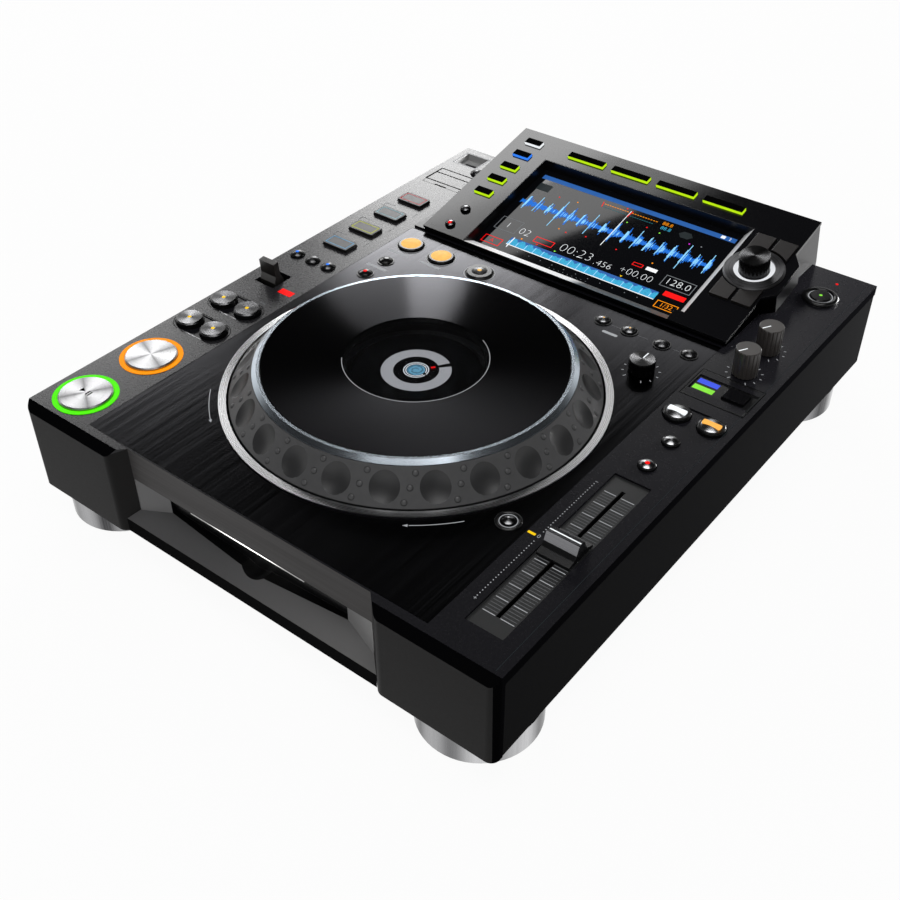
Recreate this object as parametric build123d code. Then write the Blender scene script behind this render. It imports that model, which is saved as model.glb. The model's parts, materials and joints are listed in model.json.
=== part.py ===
from build123d import *
import math
import os

# Tabletop DJ disc player. Millimetres, +Z up, +X to the right, +Y to the back.
# The origin is under the middle of the player, on the table.
# Places on the body are written as (x, distance from the front face), and heights
# are measured from the deck, the flat top of the body.

# ---------------------------------------------------------------- body
WIDTH = 320.0
DEPTH = 405.0
REAR_REACH = 5.6
BODY_DEPTH = DEPTH - REAR_REACH
BODY_HEIGHT = 56.7
FOOT_HEIGHT = 18.0
FRONT = -DEPTH / 2
DECK = FOOT_HEIGHT + BODY_HEIGHT
HALF = WIDTH / 2

WALL = 3.0
SIDE_WALL = 2.2
TRAY_WALL = 2.5
TRAY_INSET = 0.4
SEAT = 0.1
GAP = 0.3
RUNNING_FIT = 0.05
CLEAR = 0.4
EPS = 0.01

SKIRT = 6.25
BEVEL_RUN = 4.4
BEVEL_DROP = 5.0
CORNER_RADIUS = 5.0
BLOCK_ROUND = 6.0
CORNER_WRAP = 7.0

# front mouth between the two front blocks
LIP_HALF = HALF - 76.6
BLOCK_HALF = LIP_HALF + 8.6
LIP_SETBACK = 8.3
LIP_DROP = 20.3
BAND_FRONT = 2.5
BAND_HALF = LIP_HALF + 4.3
BAND_TOP = -47.8
RAMP_TOP = -36.9
MOUTH_HALF = LIP_HALF - 0.9
THROAT_FRONT = 13.5
THROAT_HALF = 62.5
THROAT_TOP = -23.0
FASCIA_BACK = 20.0
SLOT_PLATE = 3.5
SLOT_MIDDLE = -30.5
SLOT_HEIGHT = 5.0
SLOT_HALF = 62.2
SCOOP_DROP = 3.1
SCOOP_HALF = 9.5
NOTCH_RADIUS = 14.0
NOTCH_BOTTOM = -42.5
SLOT_LIGHT_HALF = 39.7
SLOT_LIGHT = 0.9

# deck plate
DECK_LEFT = -HALF + 44.5
DECK_RIGHT = HALF - 44.2
DECK_FRONT = 9.4
DECK_BACK = DEPTH - 125.3
DECK_PLATE = 1.5
SEAM = 0.25

# feet
FOOT_RADIUS = 32.0
FOOT_X = HALF - FOOT_RADIUS
FOOT_FRONT = 32.2
FOOT_REAR = BODY_DEPTH - 42.0
PAD_RADIUS = 28.0
PAD_THICK = 3.0
PAD_RECESS = 1.0
SCREW_RADIUS = 1.6
SCREW_HEAD = 3.2
SCREW_SPOTS = [(x, y) for y in (60.0, BODY_DEPTH - 59.4) for x in (-75.0, 75.0)]

# ---------------------------------------------------------------- jog wheel
JOG = (0.0, 143.1)
TRIM_OUTER = 108.7
TRIM_INNER = TRIM_OUTER - 4.3
TRIM_RISE = 0.9
TRIM_SLEEVE = 1.6
TRIM_SLEEVE_DROP = 2.7
GRIP_OUTER = TRIM_INNER - 1.3
GRIP_TOP_RADIUS = GRIP_OUTER - 13.9
GRIP_FOOT = 1.0
GRIP_TOP = 16.4
GRIP_INNER = GRIP_TOP_RADIUS - 2.8
GRIP_SKIRT = -6.5
WEB_THICK = 2.5
GRIP_HOLLOW = [(GRIP_TOP_RADIUS + 0.2, -10.0), (GRIP_OUTER - 3.0, -10.0), (GRIP_OUTER - 3.0, 0.5),
               (GRIP_TOP_RADIUS + 0.2, 11.0)]
DIMPLES = 24
DIMPLE_RADIUS = 8.4
DIMPLE_DEPTH = 1.6
RIM_INNER = GRIP_TOP_RADIUS - 4.5
RIM_OUTER = GRIP_TOP_RADIUS - 0.2
RIM_RISE = 2.6
PLATE_RADIUS = RIM_INNER - 0.5
PLATE_TOP = 19.0
PLATE_THICK = 2.0
WINDOW_RADIUS = 39.6
WINDOW_DROP = 0.9
WINDOW_THICK = 1.6
LEDGE = 2.0
SHELF_INNER = GRIP_INNER - 12.4
SHELF_THICK = 2.0
JOG_PRESS = 0.5
DISPLAY_RADIUS = 36.0
DISPLAY_TOP = 9.4
DISPLAY_BOTTOM = 2.0
COLUMN_RADIUS = DISPLAY_RADIUS - 2.0
COLUMN_WALL = 3.0
BEARING_OUTER = COLUMN_RADIUS + 6.3
BEARING_BOTTOM = -8.0
BEARING_TOP = -1.0
HUB_WALL = 4.4
HUB_TOP = 6.0
CUP_RADIUS = TRIM_OUTER - 1.1
CUP_WALL = 2.6
CUP_FLOOR = -16.0
CUP_FLANGE = CUP_RADIUS + 3.9
ENCODER_RADIUS = 66.0
ENCODER_WIDTH = 6.0
ENCODER_DEPTH = 2.4
ENCODER_SLOTS = 36

# ---------------------------------------------------------------- keys and knobs
COLLAR = 1.2
COLLAR_THICK = 1.2
STEM_RADIUS = 2.0
KEY_TRAVEL = 0.6
BIG_TRAVEL = 1.0
BOARD_TOP = -14.0
BOARD_THICK = 1.6
SWITCH_HEIGHT = 4.5
SWITCH_SIZE = 6.0
POST_RADIUS = 2.5

PLAY = (-HALF + 22.0, 25.4)
CUE = (-HALF + 22.0, 72.1)
CAP_RADIUS = 15.0
CAP_RISE = 1.6
CAP_EDGE = 0.7
LAMP_RING_INNER = 15.6
LAMP_RING_OUTER = 18.1
LAMP_RING_FLANGE = 19.3
LAMP_RING_RISE = 0.4
SEARCH_PAIR_X = (-HALF + 12.0, -HALF + 32.0)
SEARCH_Y = 110.9
TRACK_Y = 138.6
SEARCH_RADIUS = 8.1
SEARCH_RISE = 3.0
PAIR_MARGIN = 1.1
PAIR_RECESS = 0.6
BANK_SPOTS = [(-HALF + 8.5, 206.8), (-HALF + 21.8, 206.8), (-HALF + 35.0, 206.8)]
BANK_RADIUS = 4.6
USB_STOP = (-HALF + 31.0, BODY_DEPTH - 30.0)
PAD_X = -HALF + 21.7
PAD_FIRST_Y = DECK_BACK - 46.8
PAD_PITCH = 25.3
PAD_SIZE = (20.3, 11.8)
PAD_RISE = 2.0
PAD_CORNER = 1.2
PAD_NAMES = ["pad_d", "pad_c", "pad_b", "pad_a"]

LOOP_IN = (DECK_LEFT + 14.5, DECK_BACK - 18.8)
LOOP_OUT = (DECK_LEFT + 39.9, DECK_BACK - 19.2)
RELOOP = (DECK_LEFT + 70.7, DECK_BACK - 19.2)
LOOP_RADIUS = 8.5
LOOP_RISE = 1.6
SMALL_RADIUS = 4.3
SMALL_RISE = 1.4
SLIP_SPOTS = [(DECK_LEFT + 14.2, DECK_BACK - 63.9), (DECK_LEFT + 14.7, DECK_BACK - 44.6)]
CALL_SPOTS = [(DECK_RIGHT - 69.3, DECK_BACK - 17.8), (DECK_RIGHT - 51.0, DECK_BACK - 17.9)]
MEMORY_SPOTS = [(DECK_RIGHT - 28.7, DECK_BACK - 18.6), (DECK_RIGHT - 11.2, DECK_BACK - 17.8)]
TEMPO_RESET = (DECK_RIGHT - 10.6, 84.5)
RESET_RADIUS = 3.1
BEZEL_WIDTH = 1.6
BEZEL_RISE = 0.5
EJECT = (HALF - 21.9, BODY_DEPTH - 35.1)
EJECT_RADIUS = 6.6
EJECT_BEZEL = 11.0
SYNC_SPOTS = [(HALF - 33.2, 209.1), (HALF - 12.5, 209.1)]
SYNC_RADIUS = 7.6
SYNC_RISE = 1.8
TEMPO_SPOTS = [(HALF - 23.5, 185.7), (HALF - 23.5, 161.5)]
TEMPO_RADIUS = 4.7
MODE_WINDOW = (HALF - 42.4, HALF - 3.8, DECK_BACK - 45.3, DECK_BACK - 30.3)
MODE_RECESS = 0.8
MODE_KEY = (HALF - 21.6, HALF - 8.6, DECK_BACK - 42.7, DECK_BACK - 32.9)
LAMP_SIZE = (12.4, 4.2)
VINYL_LAMP = (HALF - 33.4, DECK_BACK - 34.7)
DISC_LAMP = (HALF - 33.4, DECK_BACK - 41.1)
REVERSE_LAMP = (-HALF + 35.2, 168.7)
REVERSE_LAMP_SIZE = (10.2, 5.0)
ZERO_LAMP = (HALF - 41.4, 84.9)
ZERO_LAMP_SIZE = (4.2, 1.4)
STANDBY_LAMP = (HALF - 20.6, BODY_DEPTH - 13.2)
STANDBY_RADIUS = 0.9

KNOB_SPOTS = {"release_knob": (HALF - 22.0, DECK_BACK + 13.7),
              "touch_knob": (HALF - 22.0, DECK_BACK - 14.8)}
KNOB_RADIUS = 7.2
KNOB_HEIGHT = 17.0
KNOB_FLUTES = 18
KNOB_TAPER = 0.5
JOG_ADJUST = (DECK_RIGHT - 24.8, DECK_BACK - 48.3)
ADJUST_RADIUS = 7.6
ADJUST_HEIGHT = 8.5
POT_SIZE = (9.5, 11.0)
POT_TOP = -8.0
SHAFT_RADIUS = 3.0

LEVER = (-HALF + 17.0, 175.9)
LEVER_SLOT = (16.0, 17.0)
LEVER_WIDTH = 12.6
LEVER_THICK = 4.0
LEVER_FOOT_THICK = 8.0
LEVER_HEIGHT = 14.0
LEVER_PIVOT = -9.0
LEVER_LEAN = 6.0
LEVER_BARREL = 3.0
LEVER_PIN = 1.5
CHEEK_THICK = 3.0

# ---------------------------------------------------------------- tempo slider
SLIDER_WINDOW = (HALF - 33.4, HALF - 12.2, 21.7, 147.0)
SLIDER_PLATE_DROP = 1.0
SLIDER_PLATE = 1.2
SLIDER_X = HALF - 22.6
SLIDER_Y = 84.9
SLIDER_TRAVEL = 50.0
SLIDER_SLOT = 2.2
SLIDER_SLOT_HALF = 53.0
SLIDER_CAP = (18.4, 20.4)
SLIDER_RIDGE = 4.4
SLIDER_RISE = 8.8
SLIDER_SKIRT = 1.6
SLIDER_LIFT = 0.6
SLIDER_BLADE = 1.2
SLIDER_BOX = 14.0
SLIDER_BOX_DEPTH = 15.5
CARRIAGE = (9.0, 9.0, 5.0)

# ---------------------------------------------------------------- card door and USB port
DOOR = (-HALF + 6.5, -HALF + 37.0, BODY_DEPTH - 61.5, BODY_DEPTH - 44.6)
DOOR_THICK = 1.8
DOOR_PIN = 0.9
POCKET_DEPTH = 7.0
POCKET_WALL = 1.5
CARD_SLOT = (24.6, 2.4)
USB_RECESS = (-HALF + 6.0, -HALF + 24.6, BODY_DEPTH - 24.0, BODY_DEPTH - 7.5)
USB_DEPTH = 5.2
USB_SHELL = (13.1, 5.7)
USB_TONGUE = (11.0, 1.8)
SHELL_WALL = 0.5

# ---------------------------------------------------------------- display unit
PANEL_LEFT = DECK_LEFT + 8.4
PANEL_RIGHT = DECK_RIGHT + 1.7
PANEL_Y = DECK_BACK + 1.2
PANEL_Z = 4.3
PANEL_LENGTH = 119.9
PANEL_TILT = 12.87
PANEL_PLATE = 2.0
PANEL_GAP = 0.05
HOUSING_WALL = 2.4
HOUSING_INSET = 0.5
PLINTH_HALF = DECK_RIGHT - 0.6
PLINTH_RISE = 1.2
REAR_DROP = -4.8
SCREEN_LEFT = PANEL_LEFT + 33.6
SCREEN_RIGHT = PANEL_RIGHT - 33.1
SCREEN_BACK = 95.2
SCREEN_DEPTH = 7.5
SCREEN_THICK = 6.0
RAMP_RUN = 9.8
SIDE_RAMP_RUN = 6.2
RIM_WALL = 1.5
POD_POINTS = [(PANEL_RIGHT - 1.5, 40.9), (PANEL_RIGHT + 6.7, 48.5), (PANEL_RIGHT + 6.7, 77.0),
              (PANEL_RIGHT - 1.5, 87.6)]
POD_DEPTH = 12.0
UNIT_CUT = (DECK_LEFT + 12.5, DECK_RIGHT - 3.8, DECK_BACK + 4.3, BODY_DEPTH - 6.4)
SOURCE_KEYS = [107.0, 92.3, 77.3, 62.3, 47.0]
SOURCE_U = PANEL_LEFT + 16.1
SOURCE_SIZE = (12.6, 5.6)
OPTION_KEYS = [26.0, 9.0]
OPTION_RADIUS = 3.2
BROWSE_KEYS = [-47.1, -12.4, 22.4, 57.1]
BROWSE_V = 106.8
BROWSE_SIZE = (28.0, 5.4)
PANEL_KEY_RISE = 1.6
PANEL_KEY_SINK = 1.2
PANEL_BOARD = -9.0
PANEL_SWITCH = 3.5
SELECTOR = (PANEL_RIGHT - 15.0, 61.3)
SELECTOR_RING = (12.5, 18.6)
SELECTOR_RING_RISE = 1.9
SELECTOR_RADIUS = 9.3
SELECTOR_TOP = 12.0
SELECTOR_SHAFT = 3.0
SELECTOR_BORE = 3.3
SELECTOR_BORE_TOP = 9.3
SELECTOR_FLUTES = 24
SELECTOR_SHAFT_TOP = 9.0
ARC_INNER = 19.8
ARC_SIDE = 13.4
ARC_OUTER = 30.8
ARC_SPLIT = 1.2
ARC_RISE = 1.4
ARC_STEP = -1.1
ARC_SHRINK = 1.8

# ---------------------------------------------------------------- drive and boards
DRIVE_HALF = 70.0
DRIVE_FRONT = 22.0
DRIVE_BACK = 168.0
DRIVE_FLOOR = -49.6
DRIVE_TOP = -20.8
SHEET = 1.2
SPINDLE = (0.0, 88.0)
TURNTABLE_RADIUS = 14.0
TURNTABLE_TOP = -34.2
TURNTABLE_THICK = 2.0
HUB_RADIUS = 7.3
HUB_RISE = 1.4
MOTOR_RADIUS = 12.0
MOTOR_BOTTOM = -45.6
SPINDLE_RADIUS = 2.0
CLAMP_RADIUS = 13.0
TRAVERSE_HALF = 52.0
TRAVERSE_FRONT = 66.0
TRAVERSE_BACK = 162.0
TRAVERSE_TOP = -38.6
TRAVERSE_THICK = 1.6
TRAVERSE_PIN = 1.5
RAIL_X = 20.0
RAIL_RADIUS = 1.5
PICKUP_START = 106.0
PICKUP_SIZE = (48.0, 14.0, 8.0)
LENS_RADIUS = 2.5
ROLLER_Y = 30.0
ROLLER_RADIUS = 3.6
ROLLER_HALF = 60.0
ROLLER_TOP = -32.2
ROLLER_SHAFT = 1.5
MAIN_BOARD = (-HALF + 8.0, 40.0, DECK_BACK - 29.7, BODY_DEPTH - 23.4)
POWER_BOARD = (62.0, HALF - 8.0, DECK_BACK - 29.7, BODY_DEPTH - 11.4)
STANDOFF = 6.0

# ---------------------------------------------------------------- rear sockets
SOCKET_Z = -38.0
PHONO_SPOTS = [50.0, 68.0, 92.0]
PHONO_RADIUS = 4.2
PHONO_WALL = 0.5
PHONO_PIN = 1.6
PHONO_REACH = DEPTH - BODY_DEPTH
PHONO_FLANGE = 6.4
NETWORK_SOCKET = (14.0, 16.0, 13.5)
USB_B_SOCKET = (-10.0, 12.0, 11.0)
CONTROL_SPOT = 116.0
CONTROL_RADIUS = 3.0
INLET = (-118.0, 27.0, 20.0)
SWITCH = (-82.0, 13.0, 19.5)
SWITCH_TILT = 8.0
SWITCH_DEPTH = 6.0


# ================================================================ helpers
def box(x0, x1, y0, y1, z0, z1):
    """Box between two corners: y from the front face, z from the deck."""
    middle = Pos((x0 + x1) / 2, FRONT + (y0 + y1) / 2, DECK + (z0 + z1) / 2)
    return middle * Box(x1 - x0, y1 - y0, z1 - z0)


def drum(spot, z0, z1, radius):
    """Upright cylinder at a spot on the deck."""
    return Pos(spot[0], FRONT + spot[1], DECK + (z0 + z1) / 2) * Cylinder(radius, z1 - z0)


def ring(spot, z0, z1, outer, inner):
    """Upright ring at a spot on the deck."""
    return drum(spot, z0, z1, outer) - drum(spot, z0 - 1, z1 + 1, inner)


def prism(points, z0, z1):
    """Upright prism over an outline of (x, distance from the front face) points."""
    outline = Polyline(*[(x, FRONT + y) for x, y in points], close=True)
    return Pos(0, 0, DECK + z0) * extrude(make_face(outline), amount=z1 - z0)


def profile_bar(points, x0, x1):
    """Bar along X over a side profile of (distance from the front face, height) points."""
    outline = Polyline(*[(FRONT + y, DECK + z) for y, z in points], close=True)
    return Pos(x0, 0, 0) * extrude(Plane.YZ * make_face(outline), amount=x1 - x0)


def cross_rod(x0, x1, y, z, radius):
    """Rod along X."""
    middle = Pos((x0 + x1) / 2, FRONT + y, DECK + z)
    return middle * Rot(0, 90, 0) * Cylinder(radius, x1 - x0)


def depth_rod(x, y0, y1, z, radius):
    """Rod along Y."""
    middle = Pos(x, FRONT + (y0 + y1) / 2, DECK + z)
    return middle * Rot(90, 0, 0) * Cylinder(radius, y1 - y0)


def spun(points, spot):
    """Solid turned about an upright axis from (radius, height) points."""
    outline = Polyline(*[(r, z) for r, z in points], close=True)
    return Pos(spot[0], FRONT + spot[1], DECK) * revolve(Plane.XZ * make_face(outline), Axis.Z)


def save(name, *solids):
    """Write one sub-part; several separate pieces go in as one group."""
    pieces = []
    for item in solids:
        pieces.extend(item.solids())
    shape = pieces[0] if len(pieces) == 1 else Compound(children=pieces)
    export_step(shape, "parts/" + name + ".step")


# ================================================================ keys
def switch_block(spot, board_top=BOARD_TOP):
    """Push switch on a key board under one key."""
    half = SWITCH_SIZE / 2
    return box(spot[0] - half, spot[0] + half, spot[1] - half, spot[1] + half,
               board_top, board_top + SWITCH_HEIGHT)


def key_stem(spot, radius, travel):
    """Collar that keeps a key under the panel, and the stem down to its switch."""
    collar_top = -WALL - GAP
    collar = drum(spot, collar_top - COLLAR_THICK, collar_top, radius)
    foot = BOARD_TOP + SWITCH_HEIGHT + travel + SEAT
    return collar + drum(spot, foot, collar_top, STEM_RADIUS)


def round_key(spot, radius, rise, travel, edge):
    """Round key: its cap through the panel, a collar below and a stem."""
    cap = drum(spot, -WALL - GAP - COLLAR_THICK, rise, radius)
    cap = chamfer(cap.faces().sort_by(Axis.Z)[-1].edges(), edge)
    return cap + key_stem(spot, radius + COLLAR, travel)


def big_key(spot):
    """Large key that moves inside its lamp ring."""
    low = -WALL - GAP - COLLAR_THICK
    cap = drum(spot, low, CAP_RISE, CAP_RADIUS)
    cap = chamfer(cap.faces().sort_by(Axis.Z)[-1].edges(), CAP_EDGE)
    foot = BOARD_TOP + SWITCH_HEIGHT + BIG_TRAVEL + SEAT
    return cap + drum(spot, foot, low + EPS, STEM_RADIUS)


def key_hole(spot, radius):
    """Hole in the panel for one round key."""
    return drum(spot, -WALL - 1, 1, radius + CLEAR)


def pad_block(y, margin, z0, z1):
    """Block as large as one cue pad, with a margin all round."""
    half_x = PAD_SIZE[0] / 2 + margin
    half_y = PAD_SIZE[1] / 2 + margin
    block = box(PAD_X - half_x, PAD_X + half_x, y - half_y, y + half_y, z0, z1)
    return fillet(block.edges().filter_by(Axis.Z), PAD_CORNER)


def cue_pad(y):
    """Rectangular cue pad with its collar and stem."""
    body = pad_block(y, 0, -WALL - GAP - COLLAR_THICK, PAD_RISE)
    collar = pad_block(y, COLLAR, -WALL - GAP - COLLAR_THICK, -WALL - GAP)
    foot = BOARD_TOP + SWITCH_HEIGHT + KEY_TRAVEL + SEAT
    return body + collar + drum((PAD_X, y), foot, -WALL - GAP, STEM_RADIUS)


PAD_ROWS = [PAD_FIRST_Y + PAD_PITCH * i for i in range(len(PAD_NAMES))]
SEARCH_SPOTS = [(x, SEARCH_Y) for x in SEARCH_PAIR_X]
TRACK_SPOTS = [(x, TRACK_Y) for x in SEARCH_PAIR_X]
MODE_SPOT = ((MODE_KEY[0] + MODE_KEY[1]) / 2, (MODE_KEY[2] + MODE_KEY[3]) / 2)
LEFT_KEYS = [PLAY, CUE, USB_STOP] + SEARCH_SPOTS + TRACK_SPOTS + BANK_SPOTS
LEFT_KEYS += [(PAD_X, y) for y in PAD_ROWS]
RIGHT_KEYS = [EJECT, MODE_SPOT] + SYNC_SPOTS + TEMPO_SPOTS
LOOP_KEYS = [LOOP_IN, LOOP_OUT, RELOOP]
DECK_SMALL_KEYS = SLIP_SPOTS + CALL_SPOTS + MEMORY_SPOTS


def pair_recess(spots, radius):
    """Shallow oblong around a pair of round keys."""
    reach = radius + PAIR_MARGIN
    left, right = spots
    middle = box(left[0], right[0], left[1] - reach, left[1] + reach, -PAIR_RECESS, 1)
    return middle + drum(left, -PAIR_RECESS, 1, reach) + drum(right, -PAIR_RECESS, 1, reach)


def strip_cuts():
    """Everything that opens the two side strips for keys, lamps, knobs and ports."""
    cuts = [drum(PLAY, -WALL - 1, 1, LAMP_RING_OUTER + SEAT)]
    cuts.append(drum(CUE, -WALL - 1, 1, LAMP_RING_OUTER + SEAT))
    for spot in SEARCH_SPOTS + TRACK_SPOTS:
        cuts.append(key_hole(spot, SEARCH_RADIUS))
    cuts.append(pair_recess(SEARCH_SPOTS, SEARCH_RADIUS))
    cuts.append(pair_recess(TRACK_SPOTS, SEARCH_RADIUS))
    cuts.append(pair_recess(SYNC_SPOTS, SYNC_RADIUS))
    for spot in BANK_SPOTS + [USB_STOP]:
        cuts.append(key_hole(spot, BANK_RADIUS))
    for y in PAD_ROWS:
        cuts.append(pad_block(y, CLEAR, -WALL - 1, 1))
    for spot in SYNC_SPOTS:
        cuts.append(key_hole(spot, SYNC_RADIUS))
    for spot in TEMPO_SPOTS:
        cuts.append(key_hole(spot, TEMPO_RADIUS))
    cuts.append(key_hole(EJECT, EJECT_RADIUS))
    for spot in KNOB_SPOTS.values():
        cuts.append(key_hole(spot, SHAFT_RADIUS))
    x0, x1, y0, y1 = MODE_WINDOW
    cuts.append(box(x0, x1, y0, y1, -MODE_RECESS, 1))
    x0, x1, y0, y1 = MODE_KEY
    cuts.append(box(x0 - CLEAR, x1 + CLEAR, y0 - CLEAR, y1 + CLEAR, -WALL - 1, 1))
    for spot in (VINYL_LAMP, DISC_LAMP):
        cuts.append(lamp_block(spot, LAMP_SIZE, SEAT, -WALL - 1, 1))
    cuts.append(lamp_block(REVERSE_LAMP, REVERSE_LAMP_SIZE, SEAT, -WALL - 1, 1))
    cuts.append(lamp_block(ZERO_LAMP, ZERO_LAMP_SIZE, SEAT, -WALL - 1, 1))
    cuts.append(drum(STANDBY_LAMP, -WALL - 1, 1, STANDBY_RADIUS + SEAT))
    half_x, half_y = LEVER_SLOT[0] / 2, LEVER_SLOT[1] / 2
    cuts.append(box(LEVER[0] - half_x, LEVER[0] + half_x, LEVER[1] - half_y, LEVER[1] + half_y,
                    -WALL - 1, 1))
    x0, x1, y0, y1 = SLIDER_WINDOW
    cuts.append(box(x0, x1, y0, y1, -WALL - 1, 1))
    return cuts


def deck_cuts():
    """Holes that go through both the case top and the deck plate."""
    cuts = [key_hole(spot, LOOP_RADIUS) for spot in LOOP_KEYS]
    cuts += [key_hole(spot, SMALL_RADIUS) for spot in DECK_SMALL_KEYS]
    cuts.append(key_hole(TEMPO_RESET, RESET_RADIUS))
    cuts.append(key_hole(JOG_ADJUST, SHAFT_RADIUS))
    return cuts


def lamp_block(spot, size, margin, z0, z1):
    """Rectangular lamp window on the deck."""
    half_x = size[0] / 2 + margin
    half_y = size[1] / 2 + margin
    return box(spot[0] - half_x, spot[0] + half_x, spot[1] - half_y, spot[1] + half_y, z0, z1)


# ================================================================ case
def plan_outline(inset):
    """Plan of the body, moved in by an inset. The front steps back between the blocks."""
    half = HALF - inset
    front = inset
    lip = LIP_SETBACK + inset
    slant = inset * math.tan(math.radians(22.5))
    return [(-half, BODY_DEPTH - inset), (-half, front), (-BLOCK_HALF - slant, front),
            (-LIP_HALF - slant, lip), (LIP_HALF + slant, lip), (BLOCK_HALF + slant, front),
            (half, front), (half, BODY_DEPTH - inset)]


def rounded_plan(inset, z0, z1):
    """Prism over the plan, with the upright edges of its front blocks rounded."""
    body = prism(plan_outline(inset), z0, z1)
    corners = body.edges().filter_by(Axis.Z).group_by(Axis.Y)[0]
    corners = [e for e in corners if abs(e.center().X) > BLOCK_HALF + WALL + 1]
    body = fillet(corners, CORNER_RADIUS - inset)
    inner = [e for e in body.edges().filter_by(Axis.Z)
             if e.center().Y < FRONT + inset + EPS and abs(e.center().X) < BLOCK_HALF + WALL + 1]
    return fillet(inner, BLOCK_ROUND - inset)


def make_top_case():
    """Upper shell: the top, its skirt, the two front blocks and the lip between them."""
    case = rounded_plan(0, -BODY_HEIGHT, 0) - rounded_plan(SIDE_WALL, -BODY_HEIGHT - 1, -WALL)
    lip_back = LIP_SETBACK + SIDE_WALL
    case -= box(-HALF - 1, HALF + 1, lip_back + EPS, DEPTH, -BODY_HEIGHT - 1, -SKIRT)
    for side in (-1, 1):
        inner, outer = sorted((side * (HALF - WALL - 1), side * (HALF + 1)))
        case -= box(inner, outer, CORNER_WRAP, DEPTH, -BODY_HEIGHT - 1, -SKIRT)
    case -= box(-LIP_HALF + SEAT, LIP_HALF - SEAT, LIP_SETBACK - 1, lip_back + 1,
                -BODY_HEIGHT - 1, -LIP_DROP)
    floor_top = -BODY_HEIGHT + TRAY_WALL + SEAT
    case -= box(-BLOCK_HALF - 4, BLOCK_HALF + 4, CORNER_WRAP, lip_back + 1,
                -BODY_HEIGHT - 1, floor_top)
    bevel = [(-1, 1), (BEVEL_RUN, 1), (BEVEL_RUN, 0), (0, -BEVEL_DROP), (-1, -BEVEL_DROP)]
    case -= profile_bar(bevel, -HALF - 1, HALF + 1)
    case -= box(DECK_LEFT, DECK_RIGHT, DECK_FRONT, DECK_BACK, -DECK_PLATE, 1)
    case -= drum(JOG, -WALL - 1, 1, TRIM_INNER + TRIM_SLEEVE + GAP)
    x0, x1, y0, y1 = UNIT_CUT
    case -= box(x0, x1, y0, y1, -WALL - 1, 1)
    x0, x1, y0, y1 = DOOR
    tub = box(x0 - CLEAR - POCKET_WALL, x1 + CLEAR + POCKET_WALL, y0 - CLEAR - POCKET_WALL,
              y1 + CLEAR + POCKET_WALL, -POCKET_DEPTH - POCKET_WALL, -WALL)
    case += tub
    case -= box(x0 - CLEAR, x1 + CLEAR, y0 - CLEAR, y1 + CLEAR, -POCKET_DEPTH, 1)
    middle_x = (x0 + x1) / 2
    middle_y = (y0 + y1) / 2
    case -= box(middle_x - CARD_SLOT[0] / 2, middle_x + CARD_SLOT[0] / 2,
                middle_y - CARD_SLOT[1] / 2, middle_y + CARD_SLOT[1] / 2,
                -POCKET_DEPTH - POCKET_WALL - 1, -POCKET_DEPTH + 1)
    case += door_ears()
    x0, x1, y0, y1 = USB_RECESS
    case += box(x0 - POCKET_WALL, x1 + POCKET_WALL, y0 - POCKET_WALL, y1 + POCKET_WALL,
                -USB_DEPTH - POCKET_WALL, -WALL)
    case -= box(x0, x1, y0, y1, -USB_DEPTH, 1)
    middle_x = (x0 + x1) / 2
    middle_y = (y0 + y1) / 2
    case -= box(middle_x - USB_SHELL[0] / 2 - SEAT, middle_x + USB_SHELL[0] / 2 + SEAT,
                middle_y - USB_SHELL[1] / 2 - SEAT, middle_y + USB_SHELL[1] / 2 + SEAT,
                -USB_DEPTH - POCKET_WALL - 1, -USB_DEPTH + 1)
    for cut in strip_cuts() + deck_cuts():
        case -= cut
    for post in board_posts():
        case += post
    for cheek in lever_cheeks():
        case += cheek
    return case


DOOR_AXIS = (DOOR[3] - DOOR_THICK / 2, -DOOR_THICK / 2)


def door_ears():
    """Two pins on the pocket's walls that the card door turns on."""
    y, z = DOOR_AXIS
    left = cross_rod(DOOR[0] - CLEAR - EPS, DOOR[0] + 2.0, y, z, DOOR_PIN / 2)
    right = cross_rod(DOOR[1] - 2.0, DOOR[1] + CLEAR + EPS, y, z, DOOR_PIN / 2)
    return left + right


def board_posts():
    """Posts under the case top that carry the key boards."""
    left = (-HALF + 7.0, -HALF + 38.0)
    right = (HALF - 38.0, HALF - 8.0)
    spots = [(x, y) for y in (50.0, 92.0, 192.0, BODY_DEPTH - 69.4) for x in left]
    spots += [(-HALF + 6.0, 220.0), (-HALF + 38.0, BODY_DEPTH - 13.4)]
    spots += [(x, y) for y in (172.0, 225.0, DECK_BACK - 0.7, BODY_DEPTH - 54.4) for x in right]
    spots += [(-60.0, DECK_BACK - 6.7), (15.0, DECK_BACK - 6.7), (76.0, DECK_BACK - 9.7),
              (DECK_RIGHT - 7.8, DECK_BACK - 39.7), (DECK_LEFT + 5.5, DECK_BACK - 31.7),
              (DECK_RIGHT - 8.3, 93.0)]
    return [drum(spot, BOARD_TOP, -WALL + EPS, POST_RADIUS) for spot in spots]


def lever_cheeks():
    """Two cheeks under the case top that hold the lever's pin."""
    cheeks = []
    for side in (-1, 1):
        near = LEVER[0] + side * (LEVER_WIDTH / 2 + GAP)
        far = near + side * CHEEK_THICK
        x0, x1 = sorted((near, far))
        cheek = box(x0, x1, LEVER[1] - 4, LEVER[1] + 4, LEVER_PIVOT - 3.5, -WALL + EPS)
        cheek -= cross_rod(x0 - 1, x1 + 1, LEVER[1], LEVER_PIVOT, LEVER_PIN + RUNNING_FIT)
        cheeks.append(cheek)
    return cheeks


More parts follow.
